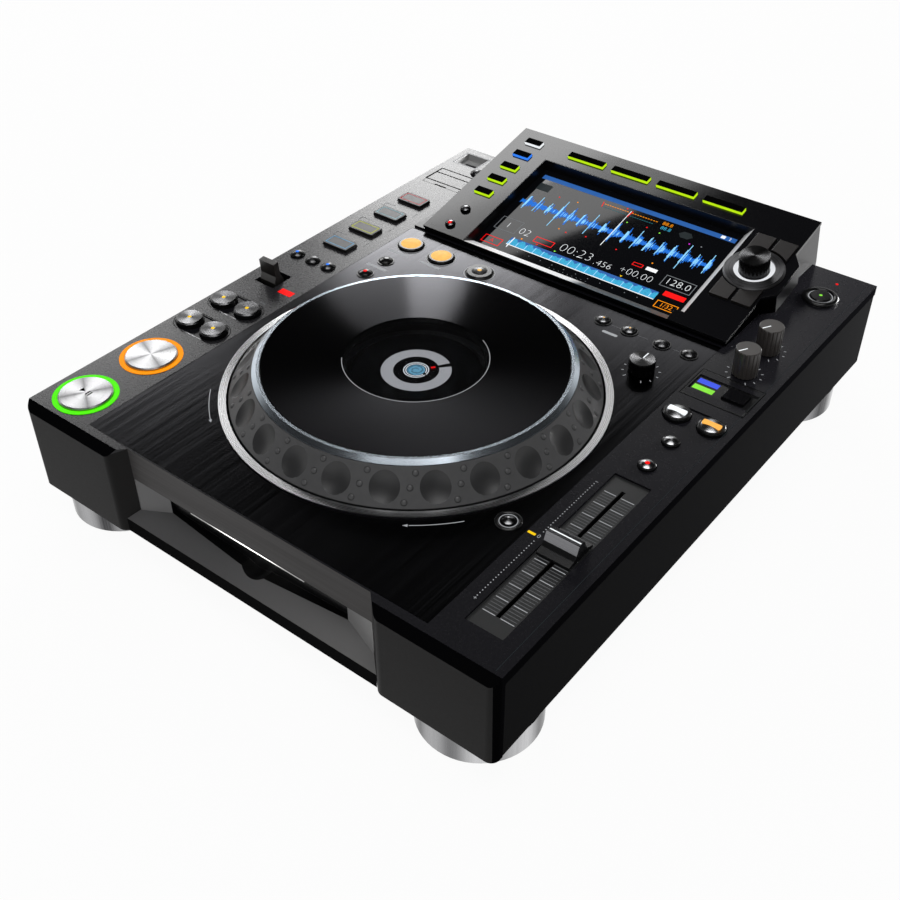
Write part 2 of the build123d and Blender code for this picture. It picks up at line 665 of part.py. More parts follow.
def floor_outline():
    """Plan of the tray floor, stepped around the slanted walls of the front blocks."""
    half = HALF - TRAY_INSET
    back = BODY_DEPTH - TRAY_INSET
    seam = CORNER_WRAP + SEAT
    inner = HALF - SIDE_WALL - SEAT
    front = SIDE_WALL + SEAT
    slant = BLOCK_HALF + 2 - (seam - front)
    left = [(-half, back), (-half, seam), (-inner, seam), (-inner + 4, front),
            (-BLOCK_HALF - 2, front), (-slant, seam), (-block_side(seam), seam),
            (-block_side(BAND_FRONT), BAND_FRONT)]
    return left + [(-x, y) for x, y in reversed(left)]


def block_side(y):
    """Half-width between the front blocks at one distance from the front, less a seam."""
    return BLOCK_HALF - (BLOCK_HALF - LIP_HALF) / LIP_SETBACK * y - 2 * SEAT


def make_bottom_case():
    """Lower tray: floor, side panels, rear wall and the band under the disc mouth."""
    top = -SKIRT - SEAT
    half = HALF - TRAY_INSET
    back = BODY_DEPTH - TRAY_INSET
    seam = CORNER_WRAP + SEAT
    floor_z = -BODY_HEIGHT + TRAY_WALL
    tray = prism(floor_outline(), -BODY_HEIGHT, floor_z)
    for side in (-1, 1):
        x0, x1 = sorted((side * (half - TRAY_WALL), side * half))
        panel = box(x0, x1, seam, back, -BODY_HEIGHT, top)
        tray += fillet(panel.edges().filter_by(Axis.X).group_by(Axis.Y)[0].sort_by(Axis.Z)[-1],
                       WALL)
    tray += box(-half + EPS, half - EPS, back - TRAY_WALL, back, -BODY_HEIGHT, top)
    band_back = BAND_FRONT + TRAY_WALL
    band = [(-block_side(BAND_FRONT), BAND_FRONT), (block_side(BAND_FRONT), BAND_FRONT),
            (block_side(band_back), band_back), (-block_side(band_back), band_back)]
    tray += prism(band, -BODY_HEIGHT, BAND_TOP - SEAT)
    for spot in SCREW_SPOTS + foot_spots():
        tray -= drum(spot, -BODY_HEIGHT - 1, floor_z + 1, SCREW_RADIUS + SEAT)
    for cut in socket_cuts():
        tray -= cut
    for post in tray_posts():
        tray += post
    return tray


def tray_posts():
    """Posts on the tray floor under the drive, the main board and the power board."""
    floor_z = -BODY_HEIGHT + TRAY_WALL - EPS
    posts = []
    for x in (-DRIVE_HALF + 6, DRIVE_HALF - 6):
        for y in (DRIVE_FRONT + 14, DRIVE_BACK - 14):
            posts.append(drum((x, y), floor_z, DRIVE_FLOOR, 4.0))
    for board in (MAIN_BOARD, POWER_BOARD):
        for x in (board[0] + 6, board[1] - 6):
            for y in (board[2] + 6, board[3] - 6):
                posts.append(drum((x, y), floor_z, floor_z + STANDOFF, 3.0))
    return posts


def foot_spots():
    """Centres of the four feet."""
    return [(x, y) for x in (-FOOT_X, FOOT_X) for y in (FOOT_FRONT, FOOT_REAR)]


def make_feet():
    """Four round feet with a recess for the pad and a bore for the screw."""
    feet = []
    for spot in foot_spots():
        low = -BODY_HEIGHT - FOOT_HEIGHT + PAD_THICK - PAD_RECESS
        foot = drum(spot, low, -BODY_HEIGHT, FOOT_RADIUS)
        foot = chamfer(foot.faces().sort_by(Axis.Z)[0].edges(), 0.8)
        foot -= drum(spot, low - 1, low + PAD_RECESS, PAD_RADIUS + SEAT)
        foot -= drum(spot, low - 1, -BODY_HEIGHT + 1, SCREW_RADIUS + SEAT)
        foot -= drum(spot, low - 1, low + 6.0, SCREW_HEAD + SEAT)
        feet.append(foot)
    return feet


def make_foot_pads():
    """Four rubber pads under the feet."""
    low = -BODY_HEIGHT - FOOT_HEIGHT
    return [drum(spot, low, low + PAD_THICK, PAD_RADIUS) for spot in foot_spots()]


def make_case_screws():
    """Screws through the feet and through the tray floor."""
    screws = []
    for spot in foot_spots():
        seat = -BODY_HEIGHT - FOOT_HEIGHT + PAD_THICK - PAD_RECESS + 6.0
        shank = drum(spot, seat - 2.2, -BODY_HEIGHT + TRAY_WALL + 4, SCREW_RADIUS)
        screws.append(shank + drum(spot, seat - 2.2, seat - SEAT / 2, SCREW_HEAD))
    for spot in SCREW_SPOTS:
        shank = drum(spot, -BODY_HEIGHT - 1.8, -BODY_HEIGHT + TRAY_WALL + 4, SCREW_RADIUS)
        screws.append(shank + drum(spot, -BODY_HEIGHT - 1.8, -BODY_HEIGHT - SEAT / 2, SCREW_HEAD))
    return screws


def make_deck_plate():
    """Brushed plate between the strips, with raised bezels around its small keys."""
    plate = box(DECK_LEFT + SEAM, DECK_RIGHT - SEAM, DECK_FRONT + SEAM, DECK_BACK - SEAM,
                -DECK_PLATE, 0)
    plate -= drum(JOG, -DECK_PLATE - 1, 1, TRIM_INNER + TRIM_SLEEVE + SEAT)
    for spot in DECK_SMALL_KEYS:
        plate += drum(spot, -SEAT, BEZEL_RISE, SMALL_RADIUS + CLEAR + BEZEL_WIDTH / 2)
    plate += drum(TEMPO_RESET, -SEAT, BEZEL_RISE, RESET_RADIUS + CLEAR + BEZEL_WIDTH)
    for cut in deck_cuts():
        plate -= cut
    return plate


def make_slot_fascia():
    """Insert behind the lip: sloped floor, finger scoop and the slot for the disc."""
    front = BAND_FRONT + SEAT
    half_front = block_side(front)
    half = LIP_HALF - 3 * SEAT
    top = -LIP_DROP - 2 * SEAT
    outline = [(-half_front, front), (half_front, front), (half, LIP_SETBACK), (half, FASCIA_BACK),
               (-half, FASCIA_BACK), (-half, LIP_SETBACK)]
    fascia = prism(outline, BAND_TOP, top)
    rise = (RAMP_TOP - BAND_TOP) / (THROAT_FRONT - front)
    lip_floor = BAND_TOP + rise * (LIP_SETBACK - front)
    over = [(front - 1, BAND_TOP - rise), (LIP_SETBACK, lip_floor), (LIP_SETBACK, 1),
            (front - 1, 1)]
    fascia -= profile_bar(over, -BLOCK_HALF, BLOCK_HALF)
    mouth = loft([mouth_face(LIP_SETBACK - EPS, MOUTH_HALF, lip_floor, top + 1),
                  mouth_face(THROAT_FRONT, THROAT_HALF, RAMP_TOP, top + 1)])
    fascia -= mouth
    plate_front = FASCIA_BACK - SLOT_PLATE
    fascia -= box(-THROAT_HALF, THROAT_HALF, THROAT_FRONT - EPS, plate_front, RAMP_TOP, THROAT_TOP)
    fascia += box(-half, half, LIP_SETBACK + SIDE_WALL + GAP, FASCIA_BACK, THROAT_TOP, top)
    scoop = [(-THROAT_HALF, RAMP_TOP), (-SCOOP_HALF, RAMP_TOP - SCOOP_DROP),
             (SCOOP_HALF, RAMP_TOP - SCOOP_DROP), (THROAT_HALF, RAMP_TOP)]
    outline = Polyline(*[(x, DECK + z) for x, z in scoop], close=True)
    wedge = extrude(Plane.XZ * make_face(outline), amount=-(plate_front - front))
    fascia -= Pos(0, FRONT + front, 0) * wedge
    notch_z = NOTCH_BOTTOM + NOTCH_RADIUS
    fascia -= depth_rod(0, front, plate_front, notch_z, NOTCH_RADIUS) & \
        box(-BLOCK_HALF, BLOCK_HALF, 0, plate_front, NOTCH_BOTTOM - 1, RAMP_TOP - SCOOP_DROP + 1)
    half_slot = SLOT_HEIGHT / 2
    fascia -= box(-SLOT_HALF, SLOT_HALF, plate_front - 1, FASCIA_BACK + 1,
                  SLOT_MIDDLE - half_slot, SLOT_MIDDLE + half_slot)
    return fascia


def mouth_face(y, half, z0, z1):
    """Upright rectangle across the mouth at one depth."""
    face = Plane.XZ * Rectangle(2 * half, z1 - z0)
    return Pos(0, FRONT + y, DECK + (z0 + z1) / 2) * face


def make_light_guides():
    """Lamp rings of the two large keys, the line over the slot and the lamp windows."""
    guides = []
    for spot in (PLAY, CUE):
        lens = ring(spot, -5.0, LAMP_RING_RISE, LAMP_RING_OUTER, LAMP_RING_INNER)
        flange = ring(spot, -5.0, -WALL - SEAT, LAMP_RING_FLANGE, LAMP_RING_INNER)
        guides.append(lens + flange)
    guides.append(box(-SLOT_LIGHT_HALF, SLOT_LIGHT_HALF, LIP_SETBACK + SEAT,
                      LIP_SETBACK + SIDE_WALL - SEAT, -LIP_DROP - SLOT_LIGHT, -LIP_DROP - EPS))
    for spot in (VINYL_LAMP, DISC_LAMP):
        guides.append(lamp_block(spot, LAMP_SIZE, 0, -WALL - 1, -MODE_RECESS + SEAT))
    guides.append(lamp_block(REVERSE_LAMP, REVERSE_LAMP_SIZE, 0, -WALL - 1, SEAT))
    guides.append(lamp_block(ZERO_LAMP, ZERO_LAMP_SIZE, 0, -WALL - 1, SEAT))
    guides.append(drum(STANDBY_LAMP, -WALL - 1, SEAT, STANDBY_RADIUS))
    return guides


# ================================================================ display unit
PANEL_FRAME = Location((0, FRONT + PANEL_Y, DECK + PANEL_Z), (PANEL_TILT, 0, 0))


def panel_box(u0, u1, v0, v1, h0, h1):
    """Box on the display panel: u to the right, v up the slope, h out of the panel."""
    middle = Pos((u0 + u1) / 2, (v0 + v1) / 2, (h0 + h1) / 2)
    return PANEL_FRAME * middle * Box(u1 - u0, v1 - v0, h1 - h0)


def panel_drum(spot, h0, h1, radius):
    """Cylinder square to the display panel."""
    return PANEL_FRAME * Pos(spot[0], spot[1], (h0 + h1) / 2) * Cylinder(radius, h1 - h0)


def panel_prism(points, h0, h1):
    """Prism square to the display panel over (u, v) points."""
    face = make_face(Polyline(*points, close=True))
    return PANEL_FRAME * Pos(0, 0, h0) * extrude(face, amount=h1 - h0)


def panel_bar(points, u0, u1):
    """Bar along u over (v, h) points."""
    face = Plane.YZ * make_face(Polyline(*points, close=True))
    return PANEL_FRAME * Pos(u0, 0, 0) * extrude(face, amount=u1 - u0)


def side_point(v, h):
    """Place in the side view, as (distance from the front face, height), of a panel point."""
    tilt = math.radians(PANEL_TILT)
    y = PANEL_Y + v * math.cos(tilt) - h * math.sin(tilt)
    z = PANEL_Z + v * math.sin(tilt) + h * math.cos(tilt)
    return y, z


def housing_profile(inset):
    """Side view of the display housing: sloped top, square back that reaches behind the body."""
    under = -PANEL_PLATE - PANEL_GAP
    front_y = side_point(HOUSING_INSET, under)[0] + inset
    tilt = math.radians(PANEL_TILT)
    back_v = PANEL_LENGTH - inset
    rear_y, rear_z = side_point(back_v, under)
    reach = DEPTH - inset
    corner = (reach, rear_z - (reach - rear_y) / math.tan(tilt))
    front_v = (front_y - PANEL_Y + under * math.sin(tilt)) / math.cos(tilt)
    return front_y, side_point(front_v, under), (rear_y, rear_z), corner


def make_display_housing():
    """Tilted box under the display panel, with a low plinth and the selector's bulge."""
    front_y, front_top, rear_top, corner = housing_profile(0)
    wall_back = BODY_DEPTH + GAP
    outer = [(front_y, PANEL_GAP), front_top, rear_top, corner, (DEPTH, REAR_DROP),
             (wall_back, REAR_DROP), (wall_back, PANEL_GAP)]
    left = PANEL_LEFT + HOUSING_INSET
    right = PANEL_RIGHT - HOUSING_INSET
    housing = profile_bar(outer, left, right)
    housing += box(-PLINTH_HALF, PLINTH_HALF, front_y, BODY_DEPTH, PANEL_GAP, PLINTH_RISE)
    under = -PANEL_PLATE - PANEL_GAP
    bulge = panel_prism(POD_POINTS, under - POD_DEPTH, under)
    housing += bulge - box(0, HALF, 0, DEPTH, -60, GAP)
    front_y, front_top, rear_top, corner = housing_profile(HOUSING_WALL)
    high = 3.0
    front_high = (front_top[0], front_top[1] + high)
    rear_high = (rear_top[0], rear_top[1] + high)
    inner_back = min(corner[0], BODY_DEPTH - HOUSING_WALL)
    tilt = math.radians(PANEL_TILT)
    inner_z = rear_top[1] - (inner_back - rear_top[0]) / math.tan(tilt)
    inner = [(front_y, -1), front_high, rear_high, rear_top, (inner_back, inner_z),
             (inner_back, -1)]
    housing -= profile_bar(inner, left + HOUSING_WALL, right - HOUSING_WALL)
    notch = [(-1, 1), (-1, -2.4), (1.0, -2.4), (3.2, -4.4), (3.2, 1)]
    return housing - panel_bar(notch, SCREEN_LEFT - RIM_WALL - GAP, SCREEN_RIGHT + RIM_WALL + GAP)


def panel_keys_cuts():
    """Holes in the display panel for its keys."""
    half_u, half_v = SOURCE_SIZE[0] / 2 + CLEAR, SOURCE_SIZE[1] / 2 + CLEAR
    cuts = [panel_box(SOURCE_U - half_u, SOURCE_U + half_u, v - half_v, v + half_v, -4, 1)
            for v in SOURCE_KEYS]
    cuts += [panel_drum((SOURCE_U, v), -4, 1, OPTION_RADIUS + CLEAR) for v in OPTION_KEYS]
    half_u, half_v = BROWSE_SIZE[0] / 2 + CLEAR, BROWSE_SIZE[1] / 2 + CLEAR
    cuts += [panel_box(u - half_u, u + half_u, BROWSE_V - half_v, BROWSE_V + half_v, -4, 1)
             for u in BROWSE_KEYS]
    cuts += [arc_key(side, end, CLEAR, -4, 4) for side in (-1, 1) for end in (-1, 1)]
    cuts.append(panel_drum(SELECTOR, -4, 4, SELECTOR_SHAFT + CLEAR))
    return cuts


def arc_key(side, end, margin, h0, h1):
    """One of the four keys around the selector, cut to the selector's ring."""
    u0, u1 = sorted((side * (ARC_SPLIT - margin), side * (ARC_SIDE + margin)))
    v0, v1 = sorted((0, end * (ARC_OUTER + margin)))
    block = panel_box(SELECTOR[0] + u0, SELECTOR[0] + u1, SELECTOR[1] + v0, SELECTOR[1] + v1,
                      h0, h1)
    return block - panel_drum(SELECTOR, h0 - 1, h1 + 1, ARC_INNER - margin)


def make_display_panel():
    """Gloss face plate with the screen well, the selector's raised ring and key holes."""
    panel = panel_box(PANEL_LEFT, PANEL_RIGHT, 0, PANEL_LENGTH, -PANEL_PLATE, 0)
    panel += panel_prism(POD_POINTS, -PANEL_PLATE, 0)
    deep = -SCREEN_DEPTH - RIM_WALL
    panel += panel_box(SCREEN_LEFT - RIM_WALL, SCREEN_RIGHT + RIM_WALL, 0,
                       SCREEN_BACK + RIM_WALL, deep, -PANEL_PLATE + EPS)
    well = panel_box(SCREEN_LEFT, SCREEN_RIGHT - SIDE_RAMP_RUN, RAMP_RUN, SCREEN_BACK,
                     deep - 1, 1)
    front_ramp = [(0, 0), (RAMP_RUN + EPS, -SCREEN_DEPTH), (RAMP_RUN + EPS, 1), (0, 1)]
    well += panel_bar(front_ramp, SCREEN_LEFT, SCREEN_RIGHT - SIDE_RAMP_RUN)
    right_ramp = loft([side_ramp_face(RAMP_RUN, SCREEN_DEPTH), side_ramp_face(SCREEN_BACK,
                                                                             SCREEN_DEPTH)])
    well += right_ramp
    well += corner_ramp()
    panel -= well
    trim = [(-1, -PANEL_PLATE), (1.0, -PANEL_PLATE), (RAMP_RUN, deep), (RAMP_RUN, deep - 1),
            (-1, deep - 1)]
    panel -= panel_bar(trim, SCREEN_LEFT - 5, SCREEN_RIGHT + 5)
    raised = panel_drum(SELECTOR, -EPS, SELECTOR_RING_RISE, SELECTOR_RING[1])
    raised = chamfer(raised.faces().sort_by(Axis.Z)[-1].edges(), 1.2)
    raised -= panel_drum(SELECTOR, 0.5, SELECTOR_RING_RISE + 1, SELECTOR_RING[0])
    panel += raised
    for cut in panel_keys_cuts():
        panel -= cut
    return panel


def side_ramp_face(v, depth):
    """Triangle of the right-hand ramp at one place up the slope."""
    inner = SCREEN_RIGHT - SIDE_RAMP_RUN
    points = [(inner - EPS, -depth), (SCREEN_RIGHT, 0), (SCREEN_RIGHT, 1), (inner - EPS, 1)]
    face = Plane.XZ * make_face(Polyline(*points, close=True))
    return PANEL_FRAME * Pos(0, v, 0) * face


def corner_ramp():
    """Mitre between the front ramp and the right-hand ramp."""
    small = 0.01
    return loft([side_ramp_face(0, small), side_ramp_face(RAMP_RUN + EPS, SCREEN_DEPTH)])


def make_screen():
    """Display module that closes the well."""
    top = -SCREEN_DEPTH - RIM_WALL - SEAT
    block = panel_box(SCREEN_LEFT - RIM_WALL, SCREEN_RIGHT - SIDE_RAMP_RUN + RIM_WALL,
                      RAMP_RUN - RIM_WALL, SCREEN_BACK + RIM_WALL, top - SCREEN_THICK, top)
    glass = panel_box(SCREEN_LEFT + SEAT, SCREEN_RIGHT - SIDE_RAMP_RUN - SEAT, RAMP_RUN + SEAT,
                      SCREEN_BACK - SEAT, top - EPS, -SCREEN_DEPTH)
    return block + glass


def panel_stem(spot, travel):
    """Stem from a panel key down to its switch."""
    foot = PANEL_BOARD + PANEL_SWITCH + travel + SEAT
    return panel_drum(spot, foot, -PANEL_PLATE - GAP, STEM_RADIUS)


def panel_key(u, v, size):
    """Rectangular key on the display panel."""
    half_u, half_v = size[0] / 2, size[1] / 2
    low = -PANEL_PLATE - GAP - COLLAR_THICK
    body = panel_box(u - half_u, u + half_u, v - half_v, v + half_v, low, PANEL_KEY_RISE)
    edge = COLLAR - CLEAR / 2
    body += panel_box(u - half_u - edge, u + half_u + edge, v - half_v - edge, v + half_v + edge,
                      low, -PANEL_PLATE - GAP)
    return body + panel_stem((u, v), KEY_TRAVEL)


def make_source_keys():
    """Column of source keys and the two round option keys below them."""
    keys = [panel_key(SOURCE_U, v, SOURCE_SIZE) for v in SOURCE_KEYS]
    for v in OPTION_KEYS:
        spot = (SOURCE_U, v)
        low = -PANEL_PLATE - GAP - COLLAR_THICK
        cap = panel_drum(spot, low, PANEL_KEY_RISE, OPTION_RADIUS)
        cap += panel_drum(spot, low, -PANEL_PLATE - GAP, OPTION_RADIUS + COLLAR)
        keys.append(cap + panel_stem(spot, KEY_TRAVEL))
    return keys


def make_browse_keys():
    """Row of four keys over the screen."""
    return [panel_key(u, BROWSE_V, BROWSE_SIZE) for u in BROWSE_KEYS]


def arc_spot(side, end):
    """Middle of one of the four keys around the selector."""
    return (SELECTOR[0] + side * ARC_SIDE * 0.55, SELECTOR[1] + end * ARC_OUTER * 0.84)


def make_selector_keys():
    """Four keys around the selector."""
    keys = []
    low = -PANEL_PLATE - GAP - COLLAR_THICK
    for end in (-1, 1):
        for side in (-1, 1):
            key = arc_key(side, end, 0, ARC_STEP, ARC_RISE)
            key += arc_key(side, end, -ARC_SHRINK, low, ARC_STEP + EPS)
            key += panel_drum(arc_spot(side, end), low, -PANEL_PLATE - GAP, SWITCH_SIZE / 2)
            keys.append(key + panel_stem(arc_spot(side, end), KEY_TRAVEL))
    return keys


def make_selector_shaft():
    """Push shaft of the selector, down to its encoder."""
    low = -PANEL_PLATE - GAP
    shaft = panel_drum(SELECTOR, PANEL_BOARD + PANEL_SWITCH + KEY_TRAVEL + SEAT,
                       SELECTOR_SHAFT_TOP, SELECTOR_SHAFT)
    return shaft + panel_drum(SELECTOR, low - COLLAR_THICK, low, SELECTOR_SHAFT + COLLAR)


def fluted(spot, h0, h1, radius, count, depth, width, make_drum, frame):
    """Knob body with straight flutes around it."""
    body = make_drum(spot, h0, h1, radius)
    body = chamfer(body.faces().sort_by(Axis.Z)[-1].edges(), KNOB_TAPER)
    for i in range(count):
        angle = 360.0 * i / count
        flute = frame * Rot(0, 0, angle) * Pos(radius + width / 2 - depth, 0, 0)
        body -= flute * Cylinder(width / 2, 200)
    return body


def make_selector_knob():
    """Selector knob that turns on its push shaft."""
    frame = PANEL_FRAME * Pos(SELECTOR[0], SELECTOR[1], 0)
    knob = fluted(SELECTOR, 0.8 + KEY_TRAVEL, SELECTOR_TOP, SELECTOR_RADIUS, SELECTOR_FLUTES, 0.4,
                  1.2, panel_drum, frame)
    return knob - panel_drum(SELECTOR, -1, SELECTOR_BORE_TOP, SELECTOR_BORE)


# ================================================================ jog wheel
def make_jog_base():
    """Fixed cup under the jog wheel, with the centre column and the bearing on it."""
    floor_top = CUP_FLOOR + CUP_WALL
    cup = drum(JOG, CUP_FLOOR, floor_top, CUP_RADIUS)
    cup += ring(JOG, CUP_FLOOR, -WALL - SEAT, CUP_RADIUS, CUP_RADIUS - CUP_WALL)
    cup += ring(JOG, -WALL - SEAT - CUP_WALL, -WALL - SEAT, CUP_FLANGE, CUP_RADIUS - EPS)
    cup += drum(JOG, CUP_FLOOR, DISPLAY_BOTTOM, COLUMN_RADIUS)
    cup += ring(JOG, floor_top - EPS, GRIP_SKIRT - WEB_THICK - GAP, BEARING_OUTER + 3,
                COLUMN_RADIUS - 1)
    cup -= drum(JOG, CUP_FLOOR - 1, DISPLAY_BOTTOM - COLUMN_WALL, COLUMN_RADIUS - COLUMN_WALL)
    bearing = ring(JOG, BEARING_BOTTOM, BEARING_TOP, BEARING_OUTER, COLUMN_RADIUS + SEAT)
    return [cup, bearing]


def make_jog_dial():
    """Rotating dial: conical grip ring with dimples, web, hub and encoder ring."""
    web_low = GRIP_SKIRT - WEB_THICK
    hub_inner = BEARING_OUTER + GAP
    hub_outer = hub_inner + HUB_WALL
    shelf_top = PLATE_TOP - PLATE_THICK - JOG_PRESS - GAP
    points = [(hub_inner, web_low), (GRIP_OUTER, web_low), (GRIP_OUTER, GRIP_FOOT),
              (GRIP_TOP_RADIUS, GRIP_TOP), (GRIP_INNER, GRIP_TOP), (GRIP_INNER, shelf_top),
              (SHELF_INNER, shelf_top), (SHELF_INNER, shelf_top - SHELF_THICK),
              (GRIP_INNER, shelf_top - SHELF_THICK - 4), (GRIP_INNER, GRIP_SKIRT),
              (hub_outer, GRIP_SKIRT), (hub_outer, HUB_TOP), (hub_inner, HUB_TOP)]
    dial = spun(points, JOG) - spun(GRIP_HOLLOW, JOG)
    middle_r = (GRIP_OUTER + GRIP_TOP_RADIUS) / 2
    middle_z = (GRIP_FOOT + GRIP_TOP) / 2
    run = GRIP_OUTER - GRIP_TOP_RADIUS
    rise = GRIP_TOP - GRIP_FOOT
    slant = math.hypot(run, rise)
    ball = (DIMPLE_RADIUS ** 2 + DIMPLE_DEPTH ** 2) / (2 * DIMPLE_DEPTH)
    offset = ball - DIMPLE_DEPTH
    ball_r = middle_r + offset * rise / slant
    ball_z = middle_z + offset * run / slant
    for i in range(DIMPLES):
        angle = math.radians(360.0 * i / DIMPLES)
        x = JOG[0] + ball_r * math.cos(angle)
        y = FRONT + JOG[1] + ball_r * math.sin(angle)
        dial -= Pos(x, y, DECK + ball_z) * Sphere(ball)
    track = ring(JOG, web_low - ENCODER_DEPTH, web_low + EPS, ENCODER_RADIUS,
                 ENCODER_RADIUS - ENCODER_WIDTH)
    for i in range(ENCODER_SLOTS):
        angle = 360.0 * i / ENCODER_SLOTS
        place = Pos(JOG[0], FRONT + JOG[1], DECK + web_low - ENCODER_DEPTH) * Rot(0, 0, angle)
        track -= place * Pos(ENCODER_RADIUS - ENCODER_WIDTH / 2, 0, 0) * \
            Box(ENCODER_WIDTH - 2, 3.0, 2 * ENCODER_DEPTH - 1.2)
    return dial + track


def make_jog_rim():
    """Bright ring on top of the grip, around the jog plate."""
    low = GRIP_TOP + SEAT
    top = GRIP_TOP + RIM_RISE
    points = [(RIM_INNER, low), (RIM_OUTER, low), (RIM_OUTER, low + 0.5), (RIM_INNER + 1.8, top),
              (RIM_INNER, top)]
    return spun(points, JOG)


def make_jog_plate():
    """Flat plate that presses down, with a seat for the centre window."""
    low = PLATE_TOP - PLATE_THICK
    window_low = PLATE_TOP - WINDOW_DROP - WINDOW_THICK - SEAT
    ledge_low = window_low - 1.2
    seat = WINDOW_RADIUS + SEAT
    outer = seat + 3
    points = [(seat - LEDGE, ledge_low), (outer, ledge_low), (outer, low), (PLATE_RADIUS, low),
              (PLATE_RADIUS, PLATE_TOP), (seat, PLATE_TOP), (seat, window_low),
              (seat - LEDGE, window_low)]
    return spun(points, JOG)


def make_jog_window():
    """Clear window in the middle of the jog plate."""
    top = PLATE_TOP - WINDOW_DROP
    return drum(JOG, top - WINDOW_THICK, top, WINDOW_RADIUS)


def make_jog_display():
    """Round display on the column, with two stepped rings."""
    body = drum(JOG, DISPLAY_BOTTOM + SEAT / 2, DISPLAY_TOP, DISPLAY_RADIUS)
    body += ring(JOG, DISPLAY_TOP - EPS, DISPLAY_TOP + 0.4, 20.0, 12.2)
    return body + drum(JOG, DISPLAY_TOP - EPS, DISPLAY_TOP + 0.4, 7.5)


def make_trim_ring():
    """Fixed bright ring in the deck around the jog wheel."""
    top = ring(JOG, SEAT / 2, TRIM_RISE, TRIM_OUTER, TRIM_INNER)
    sleeve = ring(JOG, -TRIM_SLEEVE_DROP, TRIM_RISE, TRIM_INNER + TRIM_SLEEVE, TRIM_INNER)
    return top + sleeve


# ================================================================ knobs, lever, slider, door
def make_knob(spot, radius, height, flutes):
    """Fluted knob with the pot shaft it is pushed on."""
    frame = Pos(spot[0], FRONT + spot[1], DECK)
    body = fluted(spot, GAP + 0.2, height, radius, flutes, 0.45, 1.3, drum, frame)
    return body + drum(spot, POT_TOP + GAP, GAP + 1.0, SHAFT_RADIUS)


def make_lever():
    """Direction lever, leaning to the front, with the barrel and pin it turns on."""
    half = LEVER_WIDTH / 2
    reach = LEVER_HEIGHT - LEVER_PIVOT
    low = -LEVER_BARREL * 0.5
    shape = [(-LEVER_FOOT_THICK / 2, low + 3), (-LEVER_FOOT_THICK / 2, -LEVER_PIVOT + 1),
             (-LEVER_THICK / 2, -LEVER_PIVOT + 5), (-LEVER_THICK / 2, reach),
             (LEVER_THICK / 2, reach), (LEVER_THICK / 2, -LEVER_PIVOT + 5),
             (LEVER_FOOT_THICK / 2, -LEVER_PIVOT + 1), (LEVER_FOOT_THICK / 2, low + 3)]
    outline = Polyline(*shape, close=True)
    paddle = Pos(-half, 0, 0) * extrude(Plane.YZ * make_face(outline), amount=LEVER_WIDTH)
    barrel = Rot(0, 90, 0) * Cylinder(LEVER_BARREL, LEVER_WIDTH)
    pin_length = LEVER_WIDTH + 2 * (GAP + CHEEK_THICK)
    pin = Rot(0, 90, 0) * Cylinder(LEVER_PIN, pin_length)
    place = Pos(LEVER[0], FRONT + LEVER[1], DECK + LEVER_PIVOT)
    return place * Rot(LEVER_LEAN, 0, 0) * (paddle + barrel + pin)


def make_slider_unit():
    """Slider body: scale plate with a slot, and the channel below it."""
    x0, x1, y0, y1 = SLIDER_WINDOW
    top = -SLIDER_PLATE_DROP
    plate = box(x0 + SEAT, x1 - SEAT, y0 + SEAT, y1 - SEAT, top - SLIDER_PLATE, top)
    half = SLIDER_BOX / 2
    channel = box(SLIDER_X - half, SLIDER_X + half, y0 + 2, y1 - 2, -SLIDER_BOX_DEPTH,
                  top - SLIDER_PLATE + EPS)
    channel -= box(SLIDER_X - half + SHEET, SLIDER_X + half - SHEET, y0 + 3.2, y1 - 3.2,
                   -SLIDER_BOX_DEPTH + SHEET, top - SLIDER_PLATE)
    body = plate + channel
    return body - box(SLIDER_X - SLIDER_SLOT / 2, SLIDER_X + SLIDER_SLOT / 2,
                      SLIDER_Y - SLIDER_SLOT_HALF, SLIDER_Y + SLIDER_SLOT_HALF, -6, 1)


def make_tempo_slider():
    """Slider cap with its ridge, the blade through the slot and the carriage."""
    half_y = SLIDER_CAP[1] / 2
    ridge = SLIDER_RIDGE / 2
    low = -SLIDER_PLATE_DROP + SLIDER_LIFT
    skirt = low + SLIDER_SKIRT
    shape = [(-half_y, low), (-half_y, skirt), (-half_y * 0.62, skirt + 1.0),
             (-ridge - 2.0, skirt + 3.0), (-ridge, SLIDER_RISE), (ridge, SLIDER_RISE),
             (ridge + 2.0, skirt + 3.0), (half_y * 0.62, skirt + 1.0), (half_y, skirt),
             (half_y, low)]
    points = [(SLIDER_Y + y, z) for y, z in shape]
    half_x = SLIDER_CAP[0] / 2
    cap = profile_bar(points, SLIDER_X - half_x, SLIDER_X + half_x)
    half_x, half_y = CARRIAGE[0] / 2, CARRIAGE[1] / 2
    carriage_top = -SLIDER_PLATE_DROP - SLIDER_PLATE - GAP - 1.0
    blade = box(SLIDER_X - SLIDER_BLADE / 2, SLIDER_X + SLIDER_BLADE / 2, SLIDER_Y - 2,
                SLIDER_Y + 2, carriage_top - EPS, low + EPS)
    carriage = box(SLIDER_X - half_x, SLIDER_X + half_x, SLIDER_Y - half_y, SLIDER_Y + half_y,
                   carriage_top - CARRIAGE[2], carriage_top)
    return cap + blade + carriage


